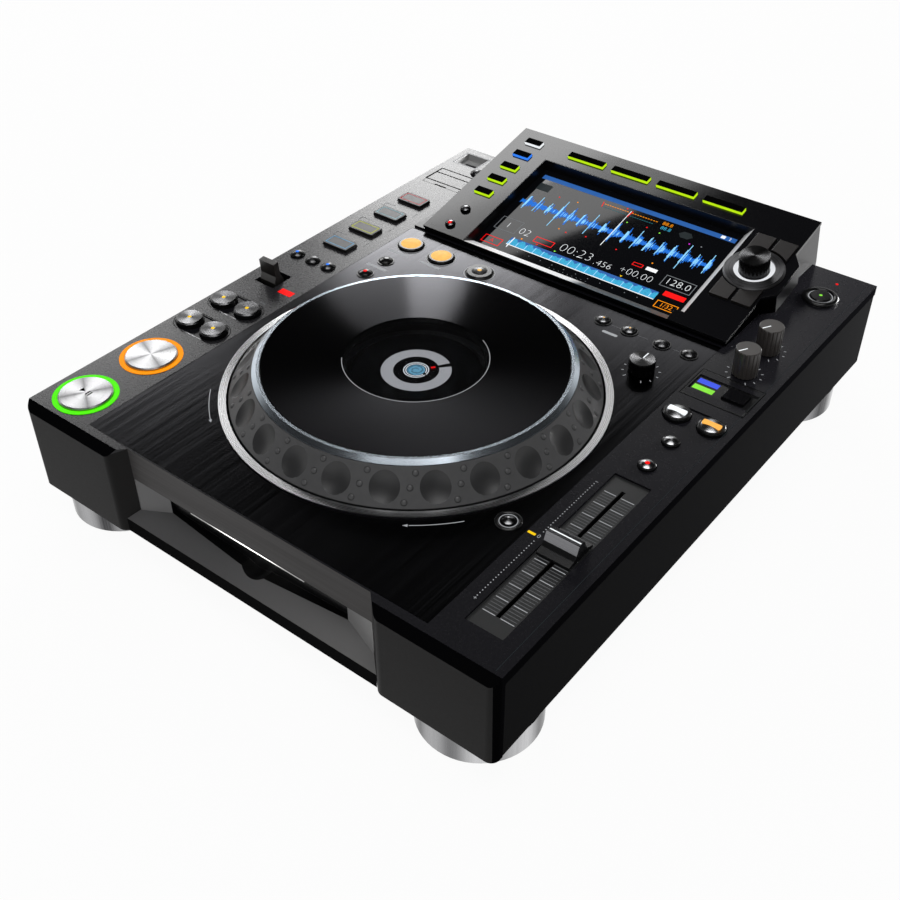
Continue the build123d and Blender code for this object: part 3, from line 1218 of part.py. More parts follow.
def make_sd_door():
    """Card door, rounded about its hinge line at the back."""
    x0, x1, y0, y1 = DOOR
    axis_y, axis_z = DOOR_AXIS
    door = box(x0, x1, y0, axis_y, -DOOR_THICK, 0)
    door += cross_rod(x0, x1, axis_y, axis_z, DOOR_THICK / 2)
    door -= cross_rod(x0 - 1, x0 + 2.5, axis_y, axis_z, DOOR_PIN / 2 + RUNNING_FIT)
    door -= cross_rod(x1 - 2.5, x1 + 1, axis_y, axis_z, DOOR_PIN / 2 + RUNNING_FIT)
    return door - box((x0 + x1) / 2 - 5, (x0 + x1) / 2 + 5, y0 - 1, y0 + 1.2, -DOOR_THICK - 1, 1)


# ================================================================ sockets
def socket_cuts():
    """Openings in the rear wall of the tray."""
    y0 = BODY_DEPTH - 2 * TRAY_WALL
    cuts = [depth_rod(x, y0, DEPTH, SOCKET_Z, PHONO_FLANGE + SEAT) for x in PHONO_SPOTS]
    cuts.append(depth_rod(CONTROL_SPOT, y0, DEPTH, SOCKET_Z, CONTROL_RADIUS + 1 + SEAT))
    for x, width, height in (NETWORK_SOCKET, USB_B_SOCKET, INLET, SWITCH):
        cuts.append(box(x - width / 2 - SEAT, x + width / 2 + SEAT, y0, DEPTH,
                        SOCKET_Z - height / 2 - SEAT, SOCKET_Z + height / 2 + SEAT))
    return cuts


def make_sockets():
    """Rear sockets, power inlet and the USB and card sockets under the left strip."""
    pieces = []
    wall = BODY_DEPTH - 0.4
    for x in PHONO_SPOTS:
        shell = depth_rod(x, wall - 16, wall + PHONO_REACH + 0.4, SOCKET_Z, PHONO_RADIUS)
        shell += depth_rod(x, wall - TRAY_WALL, wall, SOCKET_Z, PHONO_FLANGE)
        shell -= depth_rod(x, wall - 6, DEPTH + 1, SOCKET_Z, PHONO_PIN)
        pieces.append(shell)
    control = depth_rod(CONTROL_SPOT, wall - 12, wall + 0.4, SOCKET_Z, CONTROL_RADIUS + 1)
    pieces.append(control - depth_rod(CONTROL_SPOT, wall - 11, DEPTH, SOCKET_Z, 1.75))
    for x, width, height in (NETWORK_SOCKET, USB_B_SOCKET, INLET):
        shell = box(x - width / 2, x + width / 2, wall - 18, wall + 0.4,
                    SOCKET_Z - height / 2, SOCKET_Z + height / 2)
        shell -= box(x - width / 2 + 1.6, x + width / 2 - 1.6, wall - 14, DEPTH,
                     SOCKET_Z - height / 2 + 1.6, SOCKET_Z + height / 2 - 1.6)
        pieces.append(shell)
    x, width, height = INLET
    for pin_x, pin_z in ((x - 7, -3), (x, 3), (x + 7, -3)):
        pieces[-1] += box(pin_x - 1, pin_x + 1, wall - 15, wall - 3, SOCKET_Z + pin_z - 2.5,
                          SOCKET_Z + pin_z + 2.5)
    x, width, height = SWITCH
    frame = box(x - width / 2, x + width / 2, wall - 15, wall + 0.4, SOCKET_Z - height / 2,
                SOCKET_Z + height / 2)
    frame -= box(x - width / 2 + 1, x + width / 2 - 1, wall - 10, DEPTH,
                 SOCKET_Z - height / 2 + 1, SOCKET_Z + height / 2 - 1)
    pieces.append(frame)
    pieces.append(make_usb_socket())
    middle_x = (DOOR[0] + DOOR[1]) / 2
    middle_y = (DOOR[2] + DOOR[3]) / 2
    low = -POCKET_DEPTH - POCKET_WALL - SEAT
    card = box(middle_x - 14, middle_x + 14, middle_y - 3, middle_y + 3, BOARD_TOP, low)
    pieces.append(card - box(middle_x - CARD_SLOT[0] / 2, middle_x + CARD_SLOT[0] / 2,
                             middle_y - CARD_SLOT[1] / 2, middle_y + CARD_SLOT[1] / 2,
                             BOARD_TOP + 1, 0))
    return pieces


def make_usb_socket():
    """Upright USB socket: a steel shell with its tongue."""
    x = (USB_RECESS[0] + USB_RECESS[1]) / 2
    y = (USB_RECESS[2] + USB_RECESS[3]) / 2
    half_x, half_y = USB_SHELL[0] / 2, USB_SHELL[1] / 2
    shell = box(x - half_x, x + half_x, y - half_y, y + half_y, BOARD_TOP, -USB_DEPTH)
    shell -= box(x - half_x + SHELL_WALL, x + half_x - SHELL_WALL, y - half_y + SHELL_WALL,
                 y + half_y - SHELL_WALL, BOARD_TOP + 1, 0)
    half_x, half_y = USB_TONGUE[0] / 2, USB_TONGUE[1] / 2
    return shell + box(x - half_x, x + half_x, y - half_y, y + half_y, BOARD_TOP + EPS,
                       -USB_DEPTH - 1)


def make_power_switch():
    """Rocker of the power switch, pressed at its upper end."""
    x, width, height = SWITCH
    half_z = height / 2 - 1 - GAP
    shape = [(-4.5, -half_z + 2.4), (-1.2, -half_z + 0.6), (0.4, 0), (-1.2, half_z - 0.6),
             (-4.5, half_z - 2.4)]
    outline = Polyline(*shape, close=True)
    half_x = width / 2 - 1 - GAP
    rocker = Pos(-half_x, 0, 0) * extrude(Plane.YZ * make_face(outline), amount=2 * half_x)
    place = Pos(x, FRONT + BODY_DEPTH - 0.4, DECK + SOCKET_Z)
    return place * Pos(0, -3, 0) * Rot(SWITCH_TILT, 0, 0) * Pos(0, 3, 0) * rocker


# ================================================================ boards and power supply
def board(x0, x1, y0, y1, top):
    """Plain circuit board."""
    return box(x0, x1, y0, y1, top - BOARD_THICK, top)


def make_circuit_boards():
    """Key boards, display board, main board and power supply board with their parts."""
    left = board(-HALF + 4.0, -HALF + 41.5, 12.0, BODY_DEPTH - 7.4, BOARD_TOP)
    for spot in LEFT_KEYS:
        left += switch_block(spot)
    right = board(HALF - 41.5, HALF - 4.0, 152.0, BODY_DEPTH - 7.4, BOARD_TOP)
    for spot in RIGHT_KEYS:
        right += switch_block(spot)
    for spot in KNOB_SPOTS.values():
        right += pot_block(spot)
    deck = board(DECK_LEFT + 2.5, DECK_RIGHT - 2.8, DECK_BACK - 72.7, DECK_BACK - 2.7, BOARD_TOP)
    deck -= drum(JOG, BOARD_TOP - 5, BOARD_TOP + 5, CUP_FLANGE + 4)
    for spot in LOOP_KEYS + DECK_SMALL_KEYS:
        deck += switch_block(spot)
    deck += pot_block(JOG_ADJUST)
    reset = board(DECK_RIGHT - 17.8, DECK_RIGHT - 2.3, 78.0, 98.0, BOARD_TOP)
    reset -= drum(JOG, BOARD_TOP - 5, BOARD_TOP + 5, CUP_FLANGE + 1)
    reset += switch_block(TEMPO_RESET) - drum(JOG, BOARD_TOP - 5, 0, CUP_FLANGE + 1)
    floor_z = -BODY_HEIGHT + TRAY_WALL + STANDOFF
    x0, x1, y0, y1 = MAIN_BOARD
    main = board(x0, x1, y0, y1, floor_z + BOARD_THICK)
    main_top = floor_z + BOARD_THICK - EPS
    for along, back, size, height in ((92.0, 70.0, 27.0, 2.0), (132.0, 70.0, 19.0, 1.6),
                                      (52.0, 60.0, 14.0, 1.6), (92.0, 20.0, 12.0, 1.4),
                                      (162.0, 30.0, 12.0, 9.0), (42.0, 110.0, 16.0, 10.0)):
        x = x0 + along
        y = y0 + back
        main += box(x - size / 2, x + size / 2, y - size / 2, y + size / 2, main_top,
                    main_top + height)
    return [left, right, deck, reset, main, make_display_board(), make_power_board()]


def pot_block(spot):
    """Rotary pot on a key board."""
    half_x, half_y = POT_SIZE[0] / 2, POT_SIZE[1] / 2
    return box(spot[0] - half_x, spot[0] + half_x, spot[1] - half_y, spot[1] + half_y,
               BOARD_TOP - EPS, POT_TOP)


def make_display_board():
    """Board behind the display panel's keys, open around the screen."""
    low = PANEL_BOARD - BOARD_THICK
    plate = panel_box(PANEL_LEFT + 5.1, PANEL_RIGHT - 6.5, 6.0, 112.0, low, PANEL_BOARD)
    plate -= panel_box(SCREEN_LEFT - RIM_WALL - GAP, SCREEN_RIGHT + RIM_WALL + GAP, -5.0,
                       SCREEN_BACK + RIM_WALL + GAP, low - 1, PANEL_BOARD + 1)
    half = SWITCH_SIZE / 2
    spots = [(SOURCE_U, v) for v in SOURCE_KEYS + OPTION_KEYS]
    spots += [(u, BROWSE_V) for u in BROWSE_KEYS] + [SELECTOR]
    spots += [arc_spot(side, end) for side in (-1, 1) for end in (-1, 1)]
    for u, v in spots:
        plate += panel_box(u - half, u + half, v - half, v + half, PANEL_BOARD - EPS,
                           PANEL_BOARD + PANEL_SWITCH)
    return plate


def make_power_board():
    """Power board with its transformer, capacitor, heat sink and choke."""
    x0, x1, y0, y1 = POWER_BOARD
    floor_z = -BODY_HEIGHT + TRAY_WALL + STANDOFF
    supply = board(x0, x1, y0, y1, floor_z + BOARD_THICK)
    low = floor_z + BOARD_THICK - EPS
    supply += box(x0 + 18.0, x0 + 48.0, y0 + 50.0, y0 + 76.0, low, low + 22.0)
    supply += box(x0 + 60.0, x0 + 66.0, y0 + 30.0, y0 + 90.0, low, low + 22.0)
    supply += drum((x0 + 28.0, y0 + 102.0), low, low + 22.0, 9.0)
    supply += drum((x0 + 78.0, y0 + 18.0), low, low + 16.0, 8.0)
    for i in range(6):
        y = y0 + 34.0 + 10.0 * i
        supply += box(x0 + 66.0 - EPS, x0 + 74.0, y, y + 2.0, low, low + 22.0)
    return supply


# ================================================================ disc drive
def make_drive_chassis():
    """Steel frame of the drive, open at the front, with the clamp under its top."""
    outer = box(-DRIVE_HALF, DRIVE_HALF, DRIVE_FRONT, DRIVE_BACK, DRIVE_FLOOR, DRIVE_TOP)
    inner = box(-DRIVE_HALF + SHEET, DRIVE_HALF - SHEET, DRIVE_FRONT - 1, DRIVE_BACK - SHEET,
                DRIVE_FLOOR + SHEET, DRIVE_TOP - SHEET)
    frame = outer - inner
    frame -= cross_rod(-DRIVE_HALF - 1, DRIVE_HALF + 1, ROLLER_Y, ROLLER_TOP - ROLLER_RADIUS,
                       ROLLER_SHAFT + RUNNING_FIT)
    frame -= cross_rod(-DRIVE_HALF - 1, DRIVE_HALF + 1, TRAVERSE_BACK - 4,
                       TRAVERSE_TOP - TRAVERSE_THICK / 2, TRAVERSE_PIN + RUNNING_FIT)
    frame -= box(-40, 40, 96, 146, DRIVE_TOP - 2, DRIVE_TOP + 1)
    clamp_low = SLOT_MIDDLE + 2.0
    frame += ring(SPINDLE, clamp_low, DRIVE_TOP - SHEET + EPS, CLAMP_RADIUS, HUB_RADIUS + 1.5)
    return frame


def make_traverse():
    """Plate that lifts the spindle to the disc, with the pickup's rails under it."""
    low = TRAVERSE_TOP - TRAVERSE_THICK
    plate = box(-TRAVERSE_HALF, TRAVERSE_HALF, TRAVERSE_FRONT, TRAVERSE_BACK, low, TRAVERSE_TOP)
    half = PICKUP_SIZE[0] / 2 + CLEAR
    plate -= box(-half, half, PICKUP_START - 8, TRAVERSE_BACK - 6, low - 1, TRAVERSE_TOP + 1)
    plate -= drum(SPINDLE, low - 1, TRAVERSE_TOP + 1, SPINDLE_RADIUS + RUNNING_FIT)
    rail_z = low - 1.0
    for side in (-1, 1):
        plate += depth_rod(side * RAIL_X, PICKUP_START - 8 - EPS, TRAVERSE_BACK - 6 + EPS, rail_z,
                           RAIL_RADIUS)
        near = PICKUP_START - 10
        plate += box(side * RAIL_X - 3, side * RAIL_X + 3, near, near + 3, rail_z - 2, low + EPS)
        far = TRAVERSE_BACK - 7
        plate += box(side * RAIL_X - 3, side * RAIL_X + 3, far, far + 3, rail_z - 2, low + EPS)
    pin_z = TRAVERSE_TOP - TRAVERSE_THICK / 2
    for side in (-1, 1):
        inner, outer = sorted((side * (TRAVERSE_HALF - 1), side * (DRIVE_HALF + 1)))
        plate += cross_rod(inner, outer, TRAVERSE_BACK - 4, pin_z, TRAVERSE_PIN)
    return plate


def make_spindle():
    """Turntable with its hub and the motor's rotor."""
    low = TURNTABLE_TOP - TURNTABLE_THICK
    table = drum(SPINDLE, low, TURNTABLE_TOP, TURNTABLE_RADIUS)
    table += drum(SPINDLE, TURNTABLE_TOP - EPS, TURNTABLE_TOP + HUB_RISE, HUB_RADIUS - 0.1)
    rotor_top = TRAVERSE_TOP - TRAVERSE_THICK - GAP
    table += drum(SPINDLE, rotor_top - EPS, low + EPS, SPINDLE_RADIUS)
    return table + drum(SPINDLE, MOTOR_BOTTOM, rotor_top, MOTOR_RADIUS)


def make_pickup():
    """Optical pickup on its two rails."""
    half = PICKUP_SIZE[0] / 2
    low = TRAVERSE_TOP - TRAVERSE_THICK - 5.0
    top = low + PICKUP_SIZE[2]
    body = box(-half, half, PICKUP_START, PICKUP_START + PICKUP_SIZE[1], low, top - 1.0)
    rail_z = TRAVERSE_TOP - TRAVERSE_THICK - 1.0
    for side in (-1, 1):
        body -= depth_rod(side * RAIL_X, PICKUP_START - 5, PICKUP_START + PICKUP_SIZE[1] + 5,
                          rail_z, RAIL_RADIUS + 0.08)
    lens_y = PICKUP_START + PICKUP_SIZE[1] / 2
    return body + drum((0, lens_y), top - 1.0 - EPS, top, LENS_RADIUS)


def make_loading_roller():
    """Rubber loading roller on its shaft."""
    z = ROLLER_TOP - ROLLER_RADIUS
    roller = cross_rod(-ROLLER_HALF, ROLLER_HALF, ROLLER_Y, z, ROLLER_RADIUS)
    return roller + cross_rod(-DRIVE_HALF - 1, DRIVE_HALF + 1, ROLLER_Y, z, ROLLER_SHAFT)


def make_mode_key():
    """Rectangular key beside the two mode lamps."""
    x0, x1, y0, y1 = MODE_KEY
    low = -WALL - GAP - COLLAR_THICK
    key = box(x0, x1, y0, y1, low, PAIR_RECESS)
    key += box(x0 - COLLAR, x1 + COLLAR, y0 - COLLAR, y1 + COLLAR, low, -WALL - GAP)
    foot = BOARD_TOP + SWITCH_HEIGHT + KEY_TRAVEL + SEAT
    return key + drum(MODE_SPOT, foot, -WALL - GAP, STEM_RADIUS)


def make_eject_button():
    """Eject key inside its wide bezel."""
    return round_key(EJECT, EJECT_RADIUS, SMALL_RISE + 1.0, KEY_TRAVEL, 0.6)


# ================================================================ build
def build_case():
    top_case = make_top_case()
    bezel = ring(EJECT, -EPS, SMALL_RISE, EJECT_BEZEL, EJECT_RADIUS + CLEAR)
    save("top_case", top_case + bezel)
    save("bottom_case", make_bottom_case())
    save("deck_plate", make_deck_plate())
    save("slot_fascia", make_slot_fascia())
    save("light_guides", *make_light_guides())
    save("feet", *make_feet())
    save("foot_pads", *make_foot_pads())
    save("case_screws", *make_case_screws())
    save("sockets", *make_sockets())
    save("circuit_boards", *make_circuit_boards())


def build_display():
    save("display_housing", make_display_housing())
    save("display_panel", make_display_panel())
    save("screen", make_screen())
    save("source_keys", *make_source_keys())
    save("browse_keys", *make_browse_keys())
    save("selector_keys", *make_selector_keys())
    save("selector_shaft", make_selector_shaft())
    save("selector_knob", make_selector_knob())


def build_jog():
    save("jog_base", *make_jog_base())
    save("jog_dial", make_jog_dial())
    save("jog_rim", make_jog_rim())
    save("jog_plate", make_jog_plate())
    save("jog_window", make_jog_window())
    save("jog_display", make_jog_display())
    save("trim_ring", make_trim_ring())


def build_keys():
    save("play_button", big_key(PLAY))
    save("cue_button", big_key(CUE))
    names = ["search_back_button", "search_forward_button"]
    for name, spot in zip(names, SEARCH_SPOTS):
        save(name, round_key(spot, SEARCH_RADIUS, SEARCH_RISE, KEY_TRAVEL, 0.8))
    names = ["track_back_button", "track_forward_button"]
    for name, spot in zip(names, TRACK_SPOTS):
        save(name, round_key(spot, SEARCH_RADIUS, SEARCH_RISE, KEY_TRAVEL, 0.8))
    small = [round_key(spot, BANK_RADIUS, SMALL_RISE, KEY_TRAVEL, 0.5)
             for spot in BANK_SPOTS + [USB_STOP]]
    save("bank_keys", *small)
    for name, y in zip(PAD_NAMES, PAD_ROWS):
        save(name, cue_pad(y))
    names = ["loop_in_button", "loop_out_button", "reloop_button"]
    for name, spot in zip(names, LOOP_KEYS):
        save(name, round_key(spot, LOOP_RADIUS, LOOP_RISE, KEY_TRAVEL, 0.6))
    groups = {"slip_keys": SLIP_SPOTS, "call_keys": CALL_SPOTS, "memory_keys": MEMORY_SPOTS}
    for name, spots in groups.items():
        keys = [round_key(spot, SMALL_RADIUS, SMALL_RISE, KEY_TRAVEL, 0.5) for spot in spots]
        save(name, *keys)
    save("tempo_reset_button", round_key(TEMPO_RESET, RESET_RADIUS, SMALL_RISE, KEY_TRAVEL, 0.4))
    sync = [round_key(spot, SYNC_RADIUS, SYNC_RISE, KEY_TRAVEL, 0.6) for spot in SYNC_SPOTS]
    save("sync_keys", *sync)
    tempo = [round_key(spot, TEMPO_RADIUS, SMALL_RISE, KEY_TRAVEL, 0.5) for spot in TEMPO_SPOTS]
    save("tempo_keys", *tempo)
    save("jog_mode_button", make_mode_key())
    save("eject_button", make_eject_button())


def build_controls():
    for name, spot in KNOB_SPOTS.items():
        save(name, make_knob(spot, KNOB_RADIUS, KNOB_HEIGHT, KNOB_FLUTES))
    save("jog_adjust_knob", make_knob(JOG_ADJUST, ADJUST_RADIUS, ADJUST_HEIGHT, KNOB_FLUTES))
    save("direction_lever", make_lever())
    save("slider_unit", make_slider_unit())
    save("tempo_slider", make_tempo_slider())
    save("sd_door", make_sd_door())
    save("power_switch", make_power_switch())


def build_drive():
    save("drive_chassis", make_drive_chassis())
    save("traverse", make_traverse())
    save("spindle", make_spindle())
    save("pickup", make_pickup())
    save("loading_roller", make_loading_roller())


os.makedirs("parts", exist_ok=True)
build_case()
build_display()
build_jog()
build_keys()
build_controls()
build_drive()
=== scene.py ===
"""Looks of a tabletop disc player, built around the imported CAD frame."""

import json
import random
from math import atan2, cos, exp, hypot, pi, radians, sin, sqrt, tan

import bmesh
import bpy
import numpy as np
from mathutils import Matrix, Vector

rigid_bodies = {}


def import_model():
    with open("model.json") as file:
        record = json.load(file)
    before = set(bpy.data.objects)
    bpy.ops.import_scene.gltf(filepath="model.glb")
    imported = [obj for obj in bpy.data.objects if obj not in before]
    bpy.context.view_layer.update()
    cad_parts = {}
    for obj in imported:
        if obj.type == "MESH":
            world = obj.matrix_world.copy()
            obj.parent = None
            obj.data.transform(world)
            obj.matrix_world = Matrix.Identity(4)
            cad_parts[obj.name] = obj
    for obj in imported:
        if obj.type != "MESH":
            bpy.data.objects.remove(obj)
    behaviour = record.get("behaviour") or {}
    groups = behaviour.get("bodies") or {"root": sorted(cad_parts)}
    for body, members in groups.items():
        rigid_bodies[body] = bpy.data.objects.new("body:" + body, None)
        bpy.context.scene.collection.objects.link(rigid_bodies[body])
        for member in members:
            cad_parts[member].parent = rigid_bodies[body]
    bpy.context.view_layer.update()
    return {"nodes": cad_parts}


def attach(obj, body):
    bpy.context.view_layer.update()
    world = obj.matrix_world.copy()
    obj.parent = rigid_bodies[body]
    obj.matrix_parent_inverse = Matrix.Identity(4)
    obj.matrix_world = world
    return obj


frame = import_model()
NODES = frame["nodes"]

# ---- places, in millimetres
MM = 0.001
FRONT = -202.5
DECK = 74.7
JOG, ARROWS = (0, 143.1), 113.6
PLAY, CUE = (-138, 25.4), (-138, 72.1)
LEFT, RIGHT, SEARCH_Y, TRACK_Y = -148, -128, 110.9, 138.6
SEARCH = {"search_back_button": (LEFT, SEARCH_Y), "search_forward_button": (RIGHT, SEARCH_Y),
          "track_back_button": (LEFT, TRACK_Y), "track_forward_button": (RIGHT, TRACK_Y)}
BANK = [(-151.5, 206.8), (-138.2, 206.8), (-125, 206.8)]
STOP = (-129, 369.4)
PAD_X = -138.3
PAD_Y = {"pad_d": 232.9, "pad_c": 258.2, "pad_b": 283.5, "pad_a": 308.8}
LOOP_IN, LOOP_OUT, RELOOP = (-101, 260.9), (-75.6, 260.5), (-44.8, 260.5)
SLIP = [(-101.3, 215.8), (-100.8, 235.1)]
CALL = [(46.5, 261.9), (64.8, 261.8)]
MEMORY = [(87.1, 261.1), (104.6, 261.9)]
RESET, EJECT, ADJUST = (105.2, 84.5), (138.1, 364.3), (91, 231.4)
TALL_KNOBS = ((138, 293.4), (138, 264.9))
SYNC = [(126.8, 209.1), (147.5, 209.1)]
TEMPO = [(136.5, 185.7), (136.5, 161.5)]
SCALE_X, SCALE_ZERO, SCALE_PITCH = 122.7, 84.9, 2.02
LEVER_LAMP, ZERO_LAMP, STANDBY_LAMP = (-124.8, 168.7), (118.6, 84.9), (139.4, 386.2)
PLATE_TOP, DISPLAY_TOP = 19, 9.8
PANEL = Matrix.Translation(Vector((0, (FRONT + 280.9) * MM, (DECK + 4.3) * MM)))
PANEL = PANEL @ Matrix.Rotation(radians(12.87), 4, "X")
PANEL_BACK = np.array(PANEL.inverted())
SELECTOR = (102.5, 61.3)
OPTION = [(-91, 26), (-91, 9)]
SCREEN_H, WAVE_V, BEAT, PROGRESS_V = -7.5, 59.2, 8.55, 17.9
GRIP_RUN, GRIP_DROP, GRIP_MIDDLE, GRIP_EDGE = 13.9, 15.4, 96.15, 103.1
LIFT = 0.06
SINK = -0.05


def deck(x, y, z=0):
    """Point by distance from the middle, from the front face and from the deck."""
    return Vector((x * MM, (FRONT + y) * MM, (DECK + z) * MM))


def panel(u, v, h=0):
    """Point on the tilted display panel."""
    return PANEL @ Vector((u * MM, v * MM, h * MM))


def raised(place, by):
    """The same places, a step higher."""
    return lambda a, b, h=0: place(a, b, h + by)


def around(spot, radius, degrees):
    """Point at a distance and an angle from a spot."""
    angle = radians(degrees)
    return spot[0] + radius * cos(angle), spot[1] + radius * sin(angle)


# ---- materials
class Tree:
    """Shader tree under construction."""

    def __init__(self, tree):
        self.tree = tree

    def put(self, socket, value):
        """Links an output to a socket, or sets the socket to a value."""
        if isinstance(value, bpy.types.NodeSocket):
            self.tree.links.new(value, socket)
        else:
            socket.default_value = value

    def add(self, kind, sockets=(), **settings):
        """Node with its settings, and with values or links by the name or number of a socket."""
        node = self.tree.nodes.new("ShaderNode" + kind)
        for key, value in settings.items():
            setattr(node, key, value)
        for key, value in dict(sockets).items():
            self.put(node.inputs[key], value)
        return node

    def math(self, operation, *values):
        return self.add("Math", enumerate(values), operation=operation).outputs[0]

    def split(self, vector):
        return self.add("SeparateXYZ", {"Vector": vector}).outputs

    def span(self, value, start, end, low=0, high=1, kind="SMOOTHSTEP"):
        """Value that runs from low to high while another runs from start to end."""
        sockets = {"Value": value, "From Min": start, "From Max": end, "To Min": low,
                   "To Max": high}
        return self.add("MapRange", sockets, interpolation_type=kind).outputs["Result"]

    def rays(self, first, *kinds):
        """One for rays of the named kinds, and zero for all others."""
        path = self.add("LightPath").outputs
        value = path[first]
        for kind in kinds:
            value = self.math("MAXIMUM", value, path[kind])
        return value


class Look(Tree):
    """Node-based material under construction."""

    def __init__(self, name):
        self.mat = bpy.data.materials.new(name)
        self.mat.use_nodes = True
        super().__init__(self.mat.node_tree)
        self.bsdf = self.tree.nodes["Principled BSDF"]
        self.coords = self.add("TexCoord").outputs["Object"]

    def shade(self, **values):
        """Values or links of the shader's own sockets."""
        for key, value in values.items():
            self.put(self.bsdf.inputs[key.replace("_", " ")], value)

    def noise(self, scale, detail=3, stretch=(1, 1, 1)):
        """Noise factor in object space, stretched along the axes."""
        vector = self.add("Mapping", {"Vector": self.coords, "Scale": stretch}).outputs["Vector"]
        sockets = {"Vector": vector, "Scale": scale, "Detail": detail}
        return self.add("TexNoise", sockets).outputs["Fac"]

    def stripes(self, value, scale, detail):
        """Noise factor along one number."""
        return self.add("TexNoise", {"W": value, "Scale": scale, "Detail": detail},
                        noise_dimensions="1D").outputs["Fac"]

    def ramp(self, factor, low, high):
        """Value that runs from low to high as the factor runs through its middle."""
        return self.span(factor, 0.3, 0.7, low, high, "LINEAR")

    def mix(self, factor, first, second):
        """Colour between two others, through the colour sockets 6 and 7."""
        return self.add("Mix", {0: factor, 6: first, 7: second}, data_type="RGBA").outputs[2]

    def wander(self, colour, spread, factor):
        """Colour that wanders by a share of itself."""
        low, high = [tuple(min(1, c * (1 + s)) for c in colour[:3]) + (1,)
                     for s in (-spread, spread)]
        return self.mix(factor, low, high)

    def gloss(self, factor, rough, least, most):
        """Roughness that wanders between two shares of itself."""
        self.shade(Roughness=self.ramp(factor, rough * least, rough * most))

    def bump(self, height, depth, strength=0.5, edge=0):
        """Relief, its depth in micrometres, with edges rounded by a radius in metres."""
        sockets = {"Height": height, "Distance": depth * 1e-6, "Strength": strength}
        if edge:
            bevel = self.add("Bevel", {"Radius": edge}, samples=4)
            sockets["Normal"] = bevel.outputs["Normal"]
        self.shade(Normal=self.add("Bump", sockets).outputs["Normal"])


def moulded(name, colour, rough, spread=0.05, grain=2600, depth=30, edge=0.0003, **fixed):
    """Moulded plastic or rubber: fine grain, slow changes of tone and gloss, soft edges."""
    look = Look(name)
    look.shade(Base_Color=look.wander(colour, spread, look.noise(300, 4)))
    look.gloss(look.noise(700), rough, 0.93, 1.07)
    look.bump(look.noise(grain, 2), depth, edge=edge)
    look.shade(**fixed)
    return look.mat


def painted_light_grade(name, first, second, start, end, rough, glow=0):
    """Plastic whose colour runs from one tone to another between two places along X: a painted
    gradient of reflected light, with a painted glow where glow is given.
    """
    look = Look(name)
    tone = look.mix(look.span(look.split(look.coords)["X"], start, end), first, second)
    middle = tuple((a + b) / 2 for a, b in zip(first, second))
    tone = look.mix(look.ramp(look.noise(300), 0, 0.08), tone, middle)
    look.gloss(look.noise(700), rough, 0.93, 1.07)
    look.shade(Base_Color=tone, Emission_Strength=glow)
    if glow:
        look.shade(Emission_Color=tone)
    return look.mat


def brushed(name, colour, rough, axis="Y", spread=0.25, depth=12, lines=1800, Metallic=1, **fixed):
    """Metal with straight brush lines along one axis."""
    look = Look(name)
    stretch = [0.012 if letter == axis else 1 for letter in "XYZ"]
    fine = look.noise(lines, 4, stretch)
    look.gloss(look.noise(lines * 0.4, 3, stretch), rough, 0.8, 1.25)
    look.bump(fine, depth, 0.6)
    look.shade(Base_Color=look.wander(colour, spread, fine), Metallic=Metallic, **fixed)
    return look.mat


def turned(name, spot, colour, rough, spread=0.12, lines=2400, depth=0, sheen=0.8,
           across=0.25, place=deck, painted_fan_shade=0, arms=2, turn=0, narrow=1):
    """Metal turned on a lathe: fine rings about a spot, with a sheen across them.

    A painted fan of highlight arms is left where the rest of the colour is darkened by a share: a
    painted sheen.
    """
    look = Look(name)
    offset = look.add("VectorMath", {0: look.coords, 1: place(*spot)}, operation="SUBTRACT")
    axis = (place(0, 0, 1) - place(0, 0, 0)).normalized()
    along = look.add("VectorMath", {0: axis, 1: offset.outputs["Vector"]},
                     operation="CROSS_PRODUCT").outputs["Vector"]
    length = look.add("VectorMath", {0: along}, operation="LENGTH").outputs["Value"]
    rings = look.stripes(length, lines, 3)
    tone = look.wander(colour, spread, rings)
    # painted highlight fan: bright arms of colour with painted shade between them
    if painted_fan_shade:
        sides = look.split(along)
        angle = look.math("ARCTAN2", sides["Y"], sides["X"])
        wave = look.math("MULTIPLY_ADD", angle, arms / 2, -radians(turn + 90) * arms / 2)
        painted_fan = look.math("POWER", look.math("ABSOLUTE", look.math("COSINE", wave)), narrow)
        tone = look.mix(painted_fan, tuple(c * (1 - painted_fan_shade) for c in colour[:3]) + (1,), tone)
    look.gloss(rings, rough, 0.9, 1.1)
    if depth:
        look.bump(rings, depth, 0.3)
    world_way = look.add("VectorTransform", {"Vector": along}, vector_type="VECTOR",
                         convert_from="OBJECT", convert_to="WORLD")
    look.shade(Base_Color=tone, Tangent=world_way.outputs["Vector"], Metallic=1,
               Anisotropic=sheen, Anisotropic_Rotation=across)
    return look.mat


def foot_metal(name):
    """Turned feet: fine upright brush lines, and broad soft bands of painted reflection round each
    foot.
    """
    look = Look(name)
    sides = look.split(look.coords)
    x, y = [look.math("SUBTRACT", look.math("ABSOLUTE", look.math(
        "SUBTRACT", sides[key], middle)), reach) for key, middle, reach in (
            ("X", 0, 0.128), ("Y", -0.0077, 0.1626))]
    # painted reflection: broad dark and light bands by angle round each foot
    painted_reflection_bands = look.stripes(look.math("ARCTAN2", y, x), 1.7, 0.5)
    fine = look.noise(1500, 3, (1, 1, 0.02))
    tone = look.mix(look.ramp(painted_reflection_bands, 0, 1), (0.045, 0.045, 0.047, 1), (0.66, 0.66, 0.67, 1))
    tone = look.mix(look.ramp(fine, 0, 0.25), tone, (0.32, 0.32, 0.33, 1))
    look.gloss(fine, 1, 0.24, 0.34)
    look.bump(fine, 10, 0.4)
    look.shade(Base_Color=tone, Metallic=1)
    return look.mat


